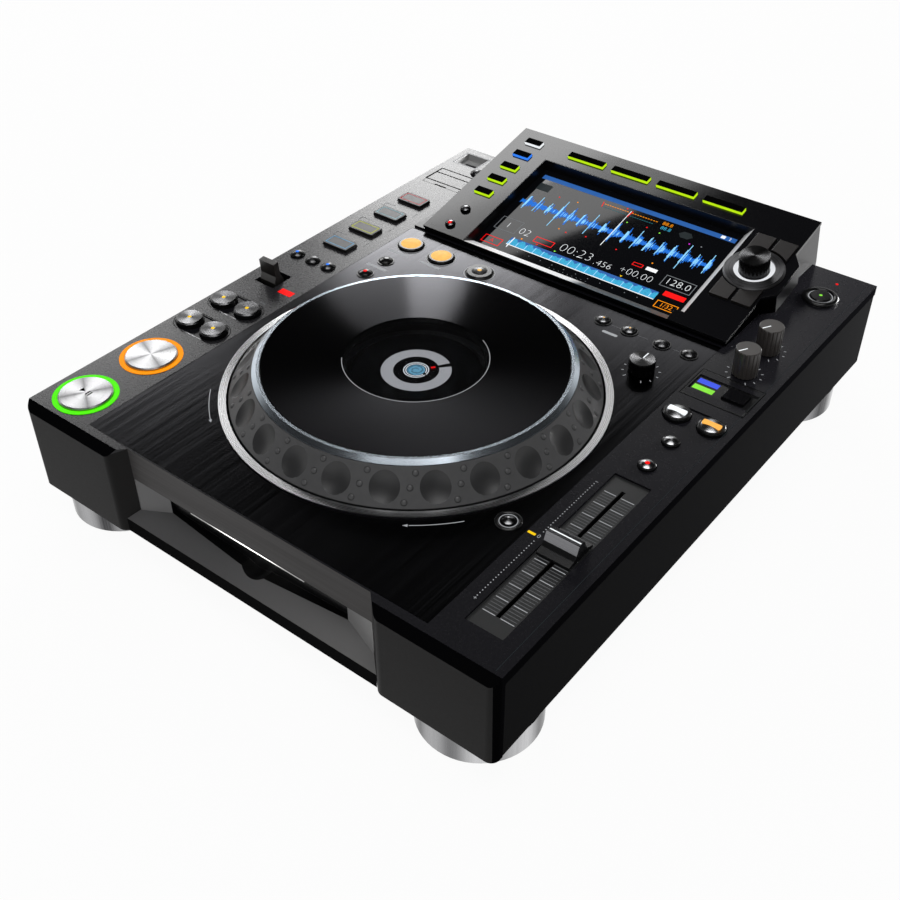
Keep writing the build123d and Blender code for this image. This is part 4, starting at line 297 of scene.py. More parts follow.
def lit(name, rgb, strength=1, spread=0.12, scale=260, rough=0.35):
    """Lens or screen lit from behind, or print and rim line given a painted glow; a little uneven,
    by sRGB colour from 0 to 255.
    """
    look = Look(name)
    colour = [c / 255 for c in rgb]
    colour = [c / 12.92 if c <= 0.04045 else ((c + 0.055) / 1.055) ** 2.4 for c in colour]
    factor = look.noise(scale, 2)
    look.shade(Base_Color=look.wander([c * 0.25 for c in colour], spread, factor),
               Emission_Color=look.wander(colour, spread, factor),
               Emission_Strength=strength, Roughness=rough, Specular_IOR_Level=0.03)
    return look.mat


def clear(name, tint, rough):
    """Clear plastic window."""
    look = Look(name)
    look.gloss(look.noise(300), rough, 0.7, 1.3)
    look.shade(Base_Color=look.wander(tint, 0.03, look.noise(90)), Transmission_Weight=1, IOR=1.49)
    return look.mat


def slot_glow(name):
    """Light line that is brightest in its middle."""
    look = Look(name)
    away = look.math("ABSOLUTE", look.split(look.coords)["X"])
    look.shade(Base_Color=look.wander((0.4, 0.4, 0.4), 0.05, look.noise(200)), Roughness=0.3,
               Emission_Color=(1, 0.98, 0.95, 1),
               Emission_Strength=look.span(away, 0.002, 0.03, 3.2, 0.14))
    return look.mat


MATT = {"Specular_IOR_Level": 0.0}
PRINT = {"scale": 900, "rough": 0.5}
M = dict(
    case=moulded("case_plastic", (0.0062, 0.006, 0.008), 0.26, depth=4, edge=0,
        Specular_IOR_Level=0.25),
    # left strip: a lighter copy of the case plastic, painted glare
    strip=moulded("strip_plastic", (0.018, 0.0175, 0.0195), 0.28, spread=0.03, grain=4200,
        depth=4, edge=0, Specular_IOR_Level=0.42),
    side=moulded("side_plastic", (0.0085, 0.0085, 0.0088), 0.5, depth=10, **MATT),
    # edge: a darker matt copy of the case plastic, painted shade
    edge=moulded("edge_plastic", (0.0022, 0.0022, 0.0026), 0.4, depth=10, **MATT),
    block=moulded("block_plastic", (0.0125, 0.012, 0.012), 0.42, depth=12,
        Specular_IOR_Level=0.05),
    lip=brushed("lip_face", (0.027, 0.0245, 0.024), 0.42, "X", 0.15, Metallic=0.2,
        Specular_IOR_Level=0.2),
    # mouth floor: painted reflection, darker at the left and lighter towards the right
    mouth=painted_light_grade("mouth_plastic", (0.082, 0.081, 0.083, 1), (0.17, 0.168, 0.168, 1),
        -0.03, 0.08, 0.36),
    facet=moulded("mouth_facet", (0.26, 0.255, 0.255), 0.42),
    deck=brushed("deck_metal", (0.04, 0.04, 0.044), 0.17, spread=0.6, depth=3, lines=2100),
    housing=moulded("housing_plastic", (0.016, 0.016, 0.018), 0.34),
    gloss=moulded("panel_gloss", (0.0045, 0.0045, 0.0055), 0.09, grain=900, depth=2, edge=0.0002),
    # screen ramps: painted reflection that runs from one tone to another across each ramp, with a
    # painted glow
    rim_silver=painted_light_grade("screen_ramp", (0.3, 0.3, 0.305, 1), (0.52, 0.52, 0.53, 1),
        0.077, 0.085, 0.34, 0.25),
    ramp_front=painted_light_grade("screen_front_ramp", (0.8, 0.8, 0.81, 1), (0.022, 0.022, 0.024, 1),
        0.004, 0.016, 0.35, 0.28),
    well=moulded("screen_well", (0.003, 0.003, 0.0035), 0.3),
    glass=moulded("screen_glass", (0.0035, 0.0038, 0.005), 0.045, grain=500, depth=1, edge=0),
    foot=foot_metal("foot_metal"),
    pad_rubber=moulded("foot_rubber", (0.012, 0.012, 0.012), 0.8, grain=1200, depth=100),
    screw=brushed("screw_steel", (0.42, 0.42, 0.42), 0.3, "X"),
    socket=brushed("socket_metal", (0.55, 0.55, 0.56), 0.28, "X"),
    socket_black=moulded("socket_plastic", (0.01, 0.01, 0.011), 0.38),
    socket_white=moulded("phono_white", (0.62, 0.62, 0.6), 0.35),
    socket_red=moulded("phono_red", (0.42, 0.02, 0.02), 0.35),
    socket_orange=moulded("phono_orange", (0.65, 0.2, 0.02), 0.35),
    board=moulded("board_green", (0.015, 0.075, 0.03), 0.35, 0.4, 420, 100),
    steel=brushed("drive_steel", (0.5, 0.5, 0.51), 0.34, spread=0.1),
    inner=moulded("inner_plastic", (0.014, 0.014, 0.015), 0.55),
    rubber=moulded("jog_rubber", (0.08, 0.08, 0.082), 0.42, 0.15, 1900, 40, 0.0006),
    # dimple: a darker copy of the grip rubber, painted shade in the hollows and round the studs
    dimple=moulded("jog_dimple", (0.026, 0.026, 0.027), 0.4, 0.1, 1900, 20),
    rim=turned("rim_metal", JOG, (0.6, 0.67, 0.74), 0.23, 0.02, sheen=0.3),
    # trim ring: painted highlight fan over its colour
    trim=turned("trim_metal", JOG, (0.86, 0.86, 0.87), 0.28, 0.02, sheen=0.85, across=0,
        painted_fan_shade=0.4, turn=168, narrow=0.9),
    plate=turned("jog_plate_metal", JOG, (0.046, 0.046, 0.051), 0.14, 0.06, 3000, 1, sheen=0.9),
    plate_core=moulded("plate_core", (0.003, 0.003, 0.003), 0.12, edge=0),
    window=clear("jog_window_clear", (0.86, 0.88, 0.92), 0.03),
    jog_screen=moulded("jog_display_gloss", (0.003, 0.003, 0.004), 0.08, grain=600,
        depth=2, edge=0),
    cap_side=brushed("cap_side_metal", (0.4, 0.37, 0.34), 0.3, "Z", 0.1),
    key=moulded("key_dark", (0.0055, 0.0055, 0.006), 0.16, grain=1500, depth=10),
    key_matt=moulded("key_matt", (0.0022, 0.0022, 0.0024), 0.35, **MATT),
    # selector top and ring: painted highlight fans over their colour
    selector_top=turned("selector_top", SELECTOR, (0.34, 0.34, 0.35), 0.24, place=panel,
        painted_fan_shade=0.96, turn=20, narrow=6),
    selector_ring=turned("selector_ring", SELECTOR, (0.16, 0.16, 0.165), 0.3, 0.3, 1500,
        place=panel, painted_fan_shade=0.6, turn=60, narrow=1.5),
    bezel=moulded("key_bezel", (0.006, 0.006, 0.0065), 0.2, depth=10),
    bezel_line=brushed("bezel_line", (0.3, 0.3, 0.31), 0.25, "X"),
    cap_metal=brushed("slider_cap_metal", (0.22, 0.22, 0.23), 0.22, "X", 0.1),
    # port grey: a light grey in the USB recess, painted light brighter than the black case
    port=moulded("port_grey", (0.36, 0.36, 0.36), 0.3),
    pad=moulded("pad_grey", (0.03, 0.03, 0.033), 0.4, grain=1500),
    pad_side=moulded("pad_side", (0.006, 0.006, 0.006), 0.4),
    knob=moulded("knob_black", (0.05, 0.045, 0.042), 0.3, grain=1700),
    # jog adjust top: painted highlight fan over its colour
    adjust_top=turned("adjust_top", ADJUST, (0.42, 0.42, 0.43), 0.26, painted_fan_shade=0.95, turn=30,
        narrow=4),
    knob_top=moulded("knob_top", (0.075, 0.07, 0.066), 0.42),
    selector=moulded("selector_black", (0.02, 0.02, 0.021), 0.14, grain=900,
        depth=6, Metallic=0.9),
    selector_key=moulded("selector_key", (0.03, 0.0275, 0.027), 0.3, grain=900, Metallic=0.4),
    slider=moulded("slider_black", (0.0075, 0.0075, 0.008), 0.24),
    scale_plate=moulded("scale_plate", (0.016, 0.0165, 0.017), 0.36),
    lever=moulded("lever_plastic", (0.017, 0.0155, 0.0145), 0.32),
    lens=moulded("pickup_lens", (0.03, 0.04, 0.08), 0.08),
    black=moulded("black_print", (0.004, 0.004, 0.004), 0.5, edge=0, **MATT),
    # deck prints glow a little: painted brightness on top of their own white and grey
    print=lit("white_print", (205, 208, 212), 0.45, 0.08, **PRINT),
    dim=lit("grey_print", (150, 152, 155), 0.25, 0.1, **PRINT),
    grey=lit("ring_print", (176, 176, 178), 0.8, 0.03, **PRINT),
    disc_blue=lit("ring_blue", (112, 176, 206), 0.8, 0.1, **PRINT),
    # rim lines glow: painted highlights along edges
    rim_line=lit("rim_line", (190, 192, 196), 0.55, 0.15, 80),
    slot_light=slot_glow("slot_light"),
    label_orange=lit("label_orange", (246, 176, 84), 1, 0.1, 300),
    amber=lit("lamp_amber", (252, 190, 104), 0.95, 0.22, 420),
    ring_glow=lit("ring_glow", (226, 228, 232), 0.9, 0.25, 60),
    teal=lit("screen_teal", (30, 96, 104)),
    tag_dark=lit("screen_tag", (34, 40, 42)),
    cyan=lit("screen_cyan", (58, 166, 204), 1, 0.3, 500),
    wave=lit("screen_wave", (28, 106, 204), 1, 0.35, 900),
    wave_core=lit("screen_wave_core", (140, 206, 250), 1, 0.2, 900),
    bar=lit("screen_bar", (44, 92, 160)),
    grey_line=lit("screen_grey", (120, 124, 128), 0.8),
    pad_a=lit("pad_line_red", (214, 60, 70), 0.55),
    pad_b=lit("pad_line_cyan", (150, 196, 206), 0.55),
    pad_c=lit("pad_line_yellow", (206, 214, 40), 0.55),
    pad_d=lit("pad_line_blue", (112, 178, 220), 0.55),
)
LAMPS = {"green": (80, 232, 8), "orange": (255, 146, 4), "white": (238, 242, 246),
         "lime": (186, 232, 22), "blue": (52, 128, 250), "violet": (66, 88, 220),
         "leaf": (132, 222, 66), "red": (245, 14, 14), "yellow": (250, 200, 20),
         "magenta": (214, 40, 214)}
# play and cue caps: painted highlight fans with four arms
for key, spot, turn in (("play_cap", PLAY, 12), ("cue_cap", CUE, 24)):
    M[key] = turned(key + "_metal", spot, (0.6, 0.6, 0.61), 0.3, 0.04, sheen=0.6, painted_fan_shade=0.72,
                    arms=4, turn=turn, narrow=0.8)
for key, rgb in LAMPS.items():
    M[key] = lit("lamp_" + key, rgb)
# search and track key tops: painted highlight fans
for key, spot in SEARCH.items():
    M[key] = turned(key + "_metal", spot, (0.34, 0.34, 0.35), 0.26, 0.06, sheen=0.6, painted_fan_shade=0.93,
                    turn=118, narrow=3)

# ---- finishes on the CAD nodes
FINISHES = (
    ("case lip block port strip bezel edge", "top_case"), ("side", "bottom_case"),
    ("deck key", "deck_plate"), ("mouth facet well", "slot_fascia"),
    ("slot_light green orange violet leaf red yellow", "light_guides"), ("foot", "feet"),
    ("pad_rubber", "foot_pads"), ("screw", "case_screws"), ("glass", "screen"),
    ("socket_black socket socket_white socket_red socket_orange", "sockets"),
    ("board inner socket", "circuit_boards"), ("housing edge", "display_housing"),
    ("gloss rim_silver ramp_front well selector_ring", "display_panel"),
    ("inner", "jog_base"), ("jog_screen", "jog_display"), ("trim", "trim_ring"),
    ("scale_plate inner", "slider_unit"), ("rubber dimple inner", "jog_dial"),
    ("rim", "jog_rim"), ("plate plate_core", "jog_plate"), ("window", "jog_window"),
    ("play_cap cap_side", "play_button"), ("cue_cap cap_side", "cue_button"),
    ("lever", "direction_lever"), ("strip", "sd_door"), ("gloss", "jog_mode_button"),
    ("key", "bank_keys loop_in_button loop_out_button reloop_button slip_keys call_keys "
            "memory_keys tempo_reset_button eject_button"),
    ("selector adjust_top", "jog_adjust_knob"), ("knob knob_top", "release_knob touch_knob"),
    ("bezel", "sync_keys tempo_keys"), ("slider inner cap_metal", "tempo_slider"),
    ("key_matt lime", "browse_keys"), ("key_matt lime blue white", "source_keys"),
    ("selector selector_top", "selector_knob"), ("selector_key", "selector_keys"),
    ("steel", "drive_chassis selector_shaft traverse"), ("inner steel", "spindle"),
    ("inner lens", "pickup"), ("pad_rubber steel", "loading_roller"),
    ("socket_black", "power_switch"), ("pad pad_side", "pad_a pad_b pad_c pad_d"),
    *[("key " + key, key) for key in SEARCH],
)
for names, nodes in FINISHES:
    for node in nodes.split():
        mesh = NODES[node].data
        mesh.materials.clear()
        for name in names.split():
            mesh.materials.append(M[name])
        mesh.polygons.foreach_set("material_index", [0] * len(mesh.polygons))


class Faces:
    """Centres of polygons in millimetres and their normals, by axis."""

    def __init__(self, centres, normals):
        self.x, self.y, self.z = centres.T
        self.nx, self.ny, self.nz = normals.T

    def near(self, spot, radius):
        """Within a radius of an upright axis."""
        return np.hypot(self.x - spot[0], self.y - spot[1]) < radius

    def within(self, x0, x1, y0, y1):
        """Over a rectangle."""
        return (self.x > x0) & (self.x < x1) & (self.y > y0) & (self.y < y1)


def paint(node, index, where, tilted=False):
    """Gives the polygons that a rule picks another of the node's materials.

    The rule reads them from the deck's datum, or in the tilted panel's frame.
    """
    polygons = NODES[node].data.polygons
    centres, normals = np.zeros((2, len(polygons) * 3))
    marks = np.zeros(len(polygons), np.int32)
    for key, values in (("center", centres), ("normal", normals), ("material_index", marks)):
        polygons.foreach_get(key, values)
    centres, normals = centres.reshape(-1, 3), normals.reshape(-1, 3)
    if tilted:
        centres = (centres @ PANEL_BACK[:3, :3].T + PANEL_BACK[:3, 3]) / MM
        normals = normals @ PANEL_BACK[:3, :3].T
    else:
        centres = centres / MM - np.array([0, FRONT, DECK])
    marks[where(Faces(centres, normals))] = index
    polygons.foreach_set("material_index", marks)


def is_lip(f):
    """The upright face set back between the front blocks."""
    return (f.ny < -0.9) & (abs(f.y - 8.3) < 0.2)


def mouth_rule(f):
    """The slot behind the mouth, and what is sunk under its sloped floor."""
    under = f.z < -47.8 + (f.y - 2.5) * 0.991 - 0.15
    return (f.y > 13.6) | ((abs(f.x) < 62.5) & (f.z < -33) & (f.nz > 0.2) & under)


def key_side(f):
    """Lit sides of the keys on the panel."""
    return (f.z > -1.6) & (abs(f.nz) < 0.5)


def in_dimple(f):
    """The hollows in the grip's cone, given painted shade."""
    slope = hypot(GRIP_RUN, GRIP_DROP)
    out = np.hypot(f.x - JOG[0], f.y - JOG[1])
    below = (GRIP_EDGE - out) * GRIP_DROP / slope - (f.z - 1) * GRIP_RUN / slope
    turn = np.degrees(np.arctan2(f.y - JOG[1], f.x - JOG[0])) % 15
    return (below > 0.05) & (out > 88) & (f.z > 1) & (np.minimum(turn, 15 - turn) < 5.3)


for index, spot, reach in ((1, PLAY, 20), (2, CUE, 20), (5, LEVER_LAMP, 7), (6, ZERO_LAMP, 7),
                           (5, STANDBY_LAMP, 7)):
    paint("light_guides", index, lambda f: f.near(spot, reach))
paint("light_guides", 3, lambda f: f.within(118.6, 134.6, 241.8, 248.2))
paint("light_guides", 4, lambda f: f.within(118.6, 134.6, 235.4, 241.8))
for index, rule in (
        (1, lambda f: is_lip(f) & (f.z > -20.6)),
        (2, lambda f: (f.y < 8.4) & (f.z < -4.9) & ((f.ny < -0.2) | (f.y < 8)) & ~is_lip(f)),
        # bevels and lower side and rear walls: painted shade
        (6, lambda f: (f.nz > 0.15) & (f.nz < 0.95) & (f.z < -0.02) & (f.z > -5.3)
         & ((f.nx > 0.2) | (abs(f.ny) > 0.2))),
        (6, lambda f: (f.z < -0.3)
         & (((abs(f.nx) > 0.5) & (abs(f.x) > 158)) | ((f.ny > 0.5) & (f.y > 395)))),
        # USB recess walls and floor: painted light, a grey lighter than the case
        (3, lambda f: (f.z < -0.3) & f.within(-156.5, -133, 373, 394)),
        # left strip: painted glare, the lighter copy of the case plastic
        (4, lambda f: (f.x < -90) & (f.z > -0.2)),
        (5, lambda f: (f.near(EJECT, 11.2) & (f.z > 0.02))
         | (f.within(115, 158, 225, 256) & (f.z < -0.3) & (f.z > -2.2)))):
    paint("top_case", index, rule)
paint("slot_fascia", 1, lambda f: (abs(f.nx) > 0.3) & (f.y < 14) & (abs(f.x) > 60) & (f.z > -47))
paint("slot_fascia", 2, mouth_rule)
paint("deck_plate", 1, lambda f: f.z > 0.02)
paint("sockets", 1, lambda f: f.near((-144.7, 383.65), 9) | ((f.x > 40) & (f.z < -20)))
for index, x in ((2, 50), (3, 68), (4, 92)):
    paint("sockets", index, lambda f: (abs(f.x - x) < 4.1) & (f.y > 392)
          & (np.hypot(f.x - x, f.z + 38) < 2.9))
# front, underside and front-right faces of the housing: painted shade
paint("display_housing", 1, lambda f: (f.ny < -0.2) | ((f.nx > 0.3) & (f.y < 336)))
for node, index, rule in (
        ("display_panel", 3, lambda f: f.within(-74, 85, -1, 95.4) & (f.z < -0.3)),
        # front and right ramps of the screen: faces that take the painted reflection and glow
        ("display_panel", 2, lambda f: (f.nz > 0.5) & (f.ny > 0.3) & (f.y < 10)
         & (f.z < -0.01) & (f.x < 84.4)),
        ("display_panel", 1, lambda f: (f.nx < -0.3) & (f.nz > 0.3) & (f.x > 78)
         & (f.x < 84.5) & (f.z < -0.01)),
        ("display_panel", 4, lambda f: f.near(SELECTOR, 19) & (f.z > 0.05)),
        ("browse_keys", 1, key_side),
        ("source_keys", 1, lambda f: key_side(f) & (f.y > 40)),
        ("source_keys", 2, lambda f: key_side(f) & (abs(f.y - 92.3) < 4)),
        ("source_keys", 3, lambda f: key_side(f) & (f.y > 102)),
        ("selector_knob", 1, lambda f: (f.nz > 0.6) & (f.z > 11))):
    paint(node, index, rule, tilted=True)
paint("circuit_boards", 1, lambda f: f.z > -13.9)
paint("jog_dial", 2, lambda f: f.z < 0.9)
paint("jog_dial", 1, in_dimple)
paint("jog_plate", 1, lambda f: f.near(JOG, 42) & (f.z < 18.9))
for node in ("play_button", "cue_button"):
    paint(node, 1, lambda f: f.nz < 0.3)
for node in SEARCH:
    paint(node, 1, lambda f: (f.nz > 0.3) & (f.z > 1))
for node in ("release_knob", "touch_knob", "jog_adjust_knob"):
    paint(node, 1, lambda f: (f.nz > 0.9) & (f.z > 6))
for node in PAD_Y:
    paint(node, 1, lambda f: f.nz < 0.6)
paint("slider_unit", 1, lambda f: f.z < -2)
paint("tempo_slider", 2, lambda f: f.z > 5.6)
paint("tempo_slider", 1, lambda f: f.z < -1.2)
paint("pickup", 1, lambda f: f.near((0, 106), 3) & (f.nz > 0.5))
paint("loading_roller", 1, lambda f: abs(f.x) > 60.2)
paint("spindle", 1, lambda f: f.z < -35.9)


# ---- pieces made here
def new_object(name, data):
    """Object in the scene."""
    item = bpy.data.objects.new(name, data)
    bpy.context.scene.collection.objects.link(item)
    return item


class Plates:
    """Collects closed thin plates and other solids, and makes one piece of them."""

    def __init__(self, name, place, body="root"):
        self.name, self.place, self.body = name, place, body
        self.points, self.faces, self.marks, self.names = [], [], [], []

    def close(self, faces, name):
        """Faces of one material over the points so far."""
        if name not in self.names:
            self.names.append(name)
        self.faces += faces
        self.marks += [self.names.index(name)] * len(faces)

    def solid(self, outline, name, low=SINK, high=LIFT):
        """Prism over an outline of (a, b) points."""
        first, count = len(self.points), len(outline)
        self.points += [self.place(a, b, h) for h in (low, high) for a, b in outline]
        faces = [tuple(first + i for i in reversed(range(count))),
                 tuple(first + count + i for i in range(count))]
        for i in range(count):
            j = (i + 1) % count
            faces.append((first + i, first + j, first + count + j, first + count + i))
        self.close(faces, name)

    def rect(self, a0, a1, b0, b1, name, *heights):
        self.solid([(a0, b0), (a1, b0), (a1, b1), (a0, b1)], name, *heights)

    def bar(self, start, end, width, name, *heights):
        """Straight line of one width."""
        d = Vector((end[0] - start[0], end[1] - start[1])).normalized() * width / 2
        self.solid([(start[0] + d.y, start[1] - d.x), (end[0] + d.y, end[1] - d.x),
                    (end[0] - d.y, end[1] + d.x), (start[0] - d.y, start[1] + d.x)],
                   name, *heights)

    def frame(self, a0, a1, b0, b1, width, name):
        """Outline rectangle."""
        self.rect(a0, a1, b0, b0 + width, name)
        self.rect(a0, a1, b1 - width, b1, name)
        self.rect(a0, a0 + width, b0 + width, b1 - width, name)
        self.rect(a1 - width, a1, b0 + width, b1 - width, name)

    def rounded(self, a0, a1, b0, b1, radius, name, *heights):
        """Rectangle with round corners."""
        corners = ((a1 - radius, b0 + radius, -90), (a1 - radius, b1 - radius, 0),
                   (a0 + radius, b1 - radius, 90), (a0 + radius, b0 + radius, 180))
        self.solid([around((a, b), radius, start + 15 * i) for a, b, start in corners
                    for i in range(7)], name, *heights)

    def disc(self, spot, radius, name, sides, *heights):
        self.solid([around(spot, radius, 360 * i / sides) for i in range(sides)], name, *heights)

    def arc(self, spot, radius, width, start, end, name, low=SINK, high=LIFT, step=2):
        """Curved line, from one angle to another in degrees, as a closed band."""
        count = max(1, int(abs(end - start) / step))
        sides = [[around(spot, radius + r, start + (end - start) * i / count)
                  for i in range(count + 1)] for r in (-width / 2, width / 2)]
        first, faces = len(self.points), []
        self.points += [self.place(a, b, h) for side in sides for a, b in side
                        for h in (low, high)]
        over = 2 * (count + 1)
        for a in range(first, first + 2 * count, 2):
            b, c, d = a + 2, a + over + 2, a + over
            faces += [(a, b, c, d), (a + 1, d + 1, c + 1, b + 1), (a, a + 1, b + 1, b),
                      (d, c, c + 1, d + 1)]
        a, b = first, first + 2 * count
        faces += [(a, a + over, a + over + 1, a + 1), (b, b + 1, b + over + 1, b + over)]
        self.close(faces, name)

    def revolved(self, spot, profile, name, sides):
        """Solid of revolution from (radius, height) points, both ends on the axis."""
        first, count = len(self.points), len(profile) - 2
        self.points.append(self.place(*spot, profile[0][1]))
        for radius, height in profile[1:-1]:
            for i in range(sides):
                self.points.append(self.place(*around(spot, radius, 360 * i / sides), height))
        self.points.append(self.place(*spot, profile[-1][1]))
        faces = []
        for i in range(sides):
            j = (i + 1) % sides
            faces.append((first, first + 1 + j, first + 1 + i))
            for a in range(first + 1, first + 1 + (count - 1) * sides, sides):
                faces.append((a + i, a + j, a + sides + j, a + sides + i))
            a = first + 1 + (count - 1) * sides
            faces.append((len(self.points) - 1, a + i, a + j))
        self.close(faces, name)

    def ring(self, spot, radius, width, base, rise, name, sides=48):
        """Ring with a round top."""
        profile = [(radius - width / 2, base + SINK), (radius + width / 2, base + SINK)]
        for k in range(1, 8):
            r, h = around((radius, base), 1, 180 * k / 8)
            profile.append((radius + (r - radius) * width / 2, base + (h - base) * rise))
        first, count = len(self.points), len(profile)
        faces = []
        for i in range(sides):
            self.points += [self.place(*around(spot, r, 360 * i / sides), h) for r, h in profile]
            here, there = first + i * count, first + (i + 1) % sides * count
            for k in range(count):
                n = (k + 1) % count
                faces.append((here + k, there + k, there + n, here + n))
        self.close(faces, name)

    def dome(self, spot, radius, base, rise, name, sides, steps):
        """Shallow dome on a flat base."""
        ball = (radius ** 2 + rise ** 2) / (2 * rise)
        profile = [(0, base + SINK), (radius, base + SINK)]
        for i in range(steps):
            r = radius * cos(radians(90 * i / steps))
            profile.append((r, base + sqrt(ball ** 2 - r ** 2) - (ball - rise)))
        self.revolved(spot, profile + [(0, base + rise)], name, sides)

    def digits(self, text, spot, size, name, thin=0.012, low=SINK, high=LIFT, stretch=1):
        """Numbers and signs, from Blender's own font, as closed plates."""
        curve = bpy.data.curves.new("digits", "FONT")
        curve.body = text
        curve.size = 1
        curve.extrude = 0.5
        curve.offset = -thin
        curve.align_x = curve.align_y = "CENTER"
        curve.resolution_u = 3
        holder = bpy.data.objects.new("digits", curve)
        mesh = bpy.data.meshes.new_from_object(holder)
        first = len(self.points)
        for x, y, z in [vertex.co for vertex in mesh.vertices]:
            self.points.append(self.place(spot[0] + size * x * stretch, spot[1] + size * y,
                                          high if z > 0 else low))
        self.close([tuple(first + i for i in polygon.vertices) for polygon in mesh.polygons], name)
        bpy.data.meshes.remove(mesh)
        bpy.data.objects.remove(holder)
        bpy.data.curves.remove(curve)

    def make(self, smooth=False):
        """The finished piece, on its body."""
        mesh = bpy.data.meshes.new(self.name)
        mesh.from_pydata([tuple(p) for p in self.points], [], self.faces)
        for name in self.names:
            mesh.materials.append(M[name])
        mesh.polygons.foreach_set("material_index", self.marks)
        fix = bmesh.new()
        fix.from_mesh(mesh)
        bmesh.ops.recalc_face_normals(fix, faces=fix.faces)
        fix.to_mesh(mesh)
        fix.free()
        if smooth:
            mesh.shade_smooth()
            mesh.set_sharp_from_angle(angle=radians(40))
        piece = new_object(self.name, mesh)
        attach(piece, self.body)


# ---- prints on the deck and strips
prints = Plates("deck_prints", deck)
for start, end in ((219.5, 233.5), (307.4, 321)):
    prints.arc(JOG, ARROWS, 0.42, start, end, "print")
for angle, turn in ((234.8, 1), (305.8, -1)):
    tip = around(JOG, ARROWS, angle)
    base = around(tip, -2.6 * turn, angle + 90)
    prints.solid([tip, around(base, 0.9, angle), around(base, -0.9, angle)], "print")
for spot, text in (((122.8, 34.4), "+"), ((123, 135.2), "−"), ((SCALE_X, SCALE_ZERO), "0")):
    prints.digits(text, spot, 3.6, "print")
for i in range(-24, 25):
    if abs(i) > 1:
        prints.disc((SCALE_X, SCALE_ZERO + i * SCALE_PITCH), 0.32, "print", 8)
for a0, a1, b0, b1 in ((52.6, 59, 261, 261), (71, 78, 261, 260.9), (94.6, 98.6, 261, 261)):
    prints.bar((a0, b0), (a1, b1), 0.3, "dim")
for a0, a1, b in (
        (-109, -93, 248.3), (-83.6, -67.6, 248.6), (-109, -93, 226.2), (51.8, 62, 252.6)):
    prints.rounded(a0, a1, b - 1.1, b + 1.1, 0.9, "print")
for a0, a1 in ((-151.5, -146), (-129, -124)):
    prints.bar((a0, 197.4), (a1, 197.4), 0.35, "dim")
prints.bar((155.4, 6), (155.4, 396), 0.22, "tag_dark")
for x, side in ((LEFT, -1), (RIGHT, 1)):
    for y in (123.4, 151.4):
        for k in (-1.1, 1.1):
            prints.solid([(x + side * (k + a), y + b)
                          for a, b in ((-0.9, -1), (0.9, 0), (-0.9, 1))], "dim")
    prints.rect(x + side * 2.3 - 0.2, x + side * 2.3 + 0.2, 150.4, 152.4, "dim")
for y in list(PAD_Y.values())[:3]:
    for start, end in (((-151.6, 7.4), (-151.6, 12.6)), ((-151.6, 12.6), (-144, 12.6)),
                       ((-124.6, 7.4), (-124.6, 12.6))):
        prints.bar((start[0], y + start[1]), (end[0], y + end[1]), 0.28, "dim")
for spot, radius in ((TALL_KNOBS[0], 10.2), (TALL_KNOBS[1], 10.2), (ADJUST, 10.6)):
    for i in range(11):
        start, end = [around(spot, radius + r, 240 - 30 * i)
                      for r in (-0.9, 0.5 if i % 5 else 1.1)]
        prints.bar(start, end, 0.42, "print")
prints.make()

scale = Plates("tempo_scale", raised(deck, -1))
for i in range(51):
    y = 32 + i * SCALE_PITCH
    name, width = ("dim", 0.26) if i % 5 else ("print", 0.42)
    if abs(y - SCALE_ZERO) >= 0.9:
        scale.bar((129, y), (135.9, y), width, name)
        scale.bar((138.9, y), (146.4, y), width, name)
scale.make()


# ---- keys, lamps and caps
def key_top(name, body, spots, radius, base, rise, tone=None, material=None,
            place=deck, sides=32, steps=6):
    """Domed tops of keys, of a material or turned to a tone with a painted highlight fan."""
    tops = Plates(name, place, body)
    for index, spot in enumerate(spots):
        key = material or "%s_%d" % (name, index)
        # tone: turned metal with a painted highlight fan
        if tone:
            M[key] = turned(key, spot, (tone, tone, tone * 1.03), 0.26, sheen=0.6, place=place,
                            painted_fan_shade=0.9, turn=118, narrow=2.5)
        tops.dome(spot, radius, base, rise, key, sides, steps)
    tops.make(smooth=True)


def lamp_dots(name, body, spots, radius, base, rise, material, place=deck):
    """Small domed lamps."""
    key_top(name, body, spots, radius, base, rise, None, material, place, 20, 4)


for key, spot in SEARCH.items():
    lamp_dots(key + "_lamp", key, [spot], 1.25, 2.95, 0.35, "yellow")
key_top("bank_key_tops", "bank_keys", BANK + [STOP], 4.2, 1.35, 1.2, 0.14)
lamp_dots("bank_key_lamps", "bank_keys", BANK[::2], 1.4, 2.35, 0.35, "blue")
key_top("slip_key_tops", "slip_keys", SLIP, 3.9, 1.35, 0.9, material="key")
lamp_dots("slip_key_lamp", "slip_keys", SLIP[:1], 1.5, 2.05, 0.35, "red")
key_top("call_key_tops", "call_keys", CALL, 3.7, 1.35, 0.9, 0.42)
lamp_dots("call_key_lamps", "call_keys", [(x, y + 0.4) for x, y in CALL], 1, 2.05, 0.25, "amber")
key_top("memory_key_tops", "memory_keys", MEMORY, 3.9, 1.35, 0.9, 0.26)
key_top("reset_key_top", "tempo_reset_button", [RESET], 3.4, 1.3, 0.7, 0.3)
for name, spot in (("loop_in", LOOP_IN), ("loop_out", LOOP_OUT)):
    key_top(name + "_top", name + "_button", [spot], 7.1, 1.5, 0.9, material="amber")
key_top("reloop_top", "reloop_button", [RELOOP], 5.4, 1.5, 0.8, 0.12)
lamp_dots("reloop_lamp", "reloop_button", [RELOOP], 1.5, 2.2, 0.3, "amber")
key_top("eject_key_top", "eject_button", [EJECT], 5.8, 1.5, 0.8, 0.85)
lamp_dots("eject_lamp", "eject_button", [EJECT], 1.6, 2.2, 0.35, "leaf")
key_top("sync_key_tops", "sync_keys", SYNC, 6.2, 1.7, 1.3, 0.62)
labels = Plates("sync_key_labels", deck, "sync_keys")
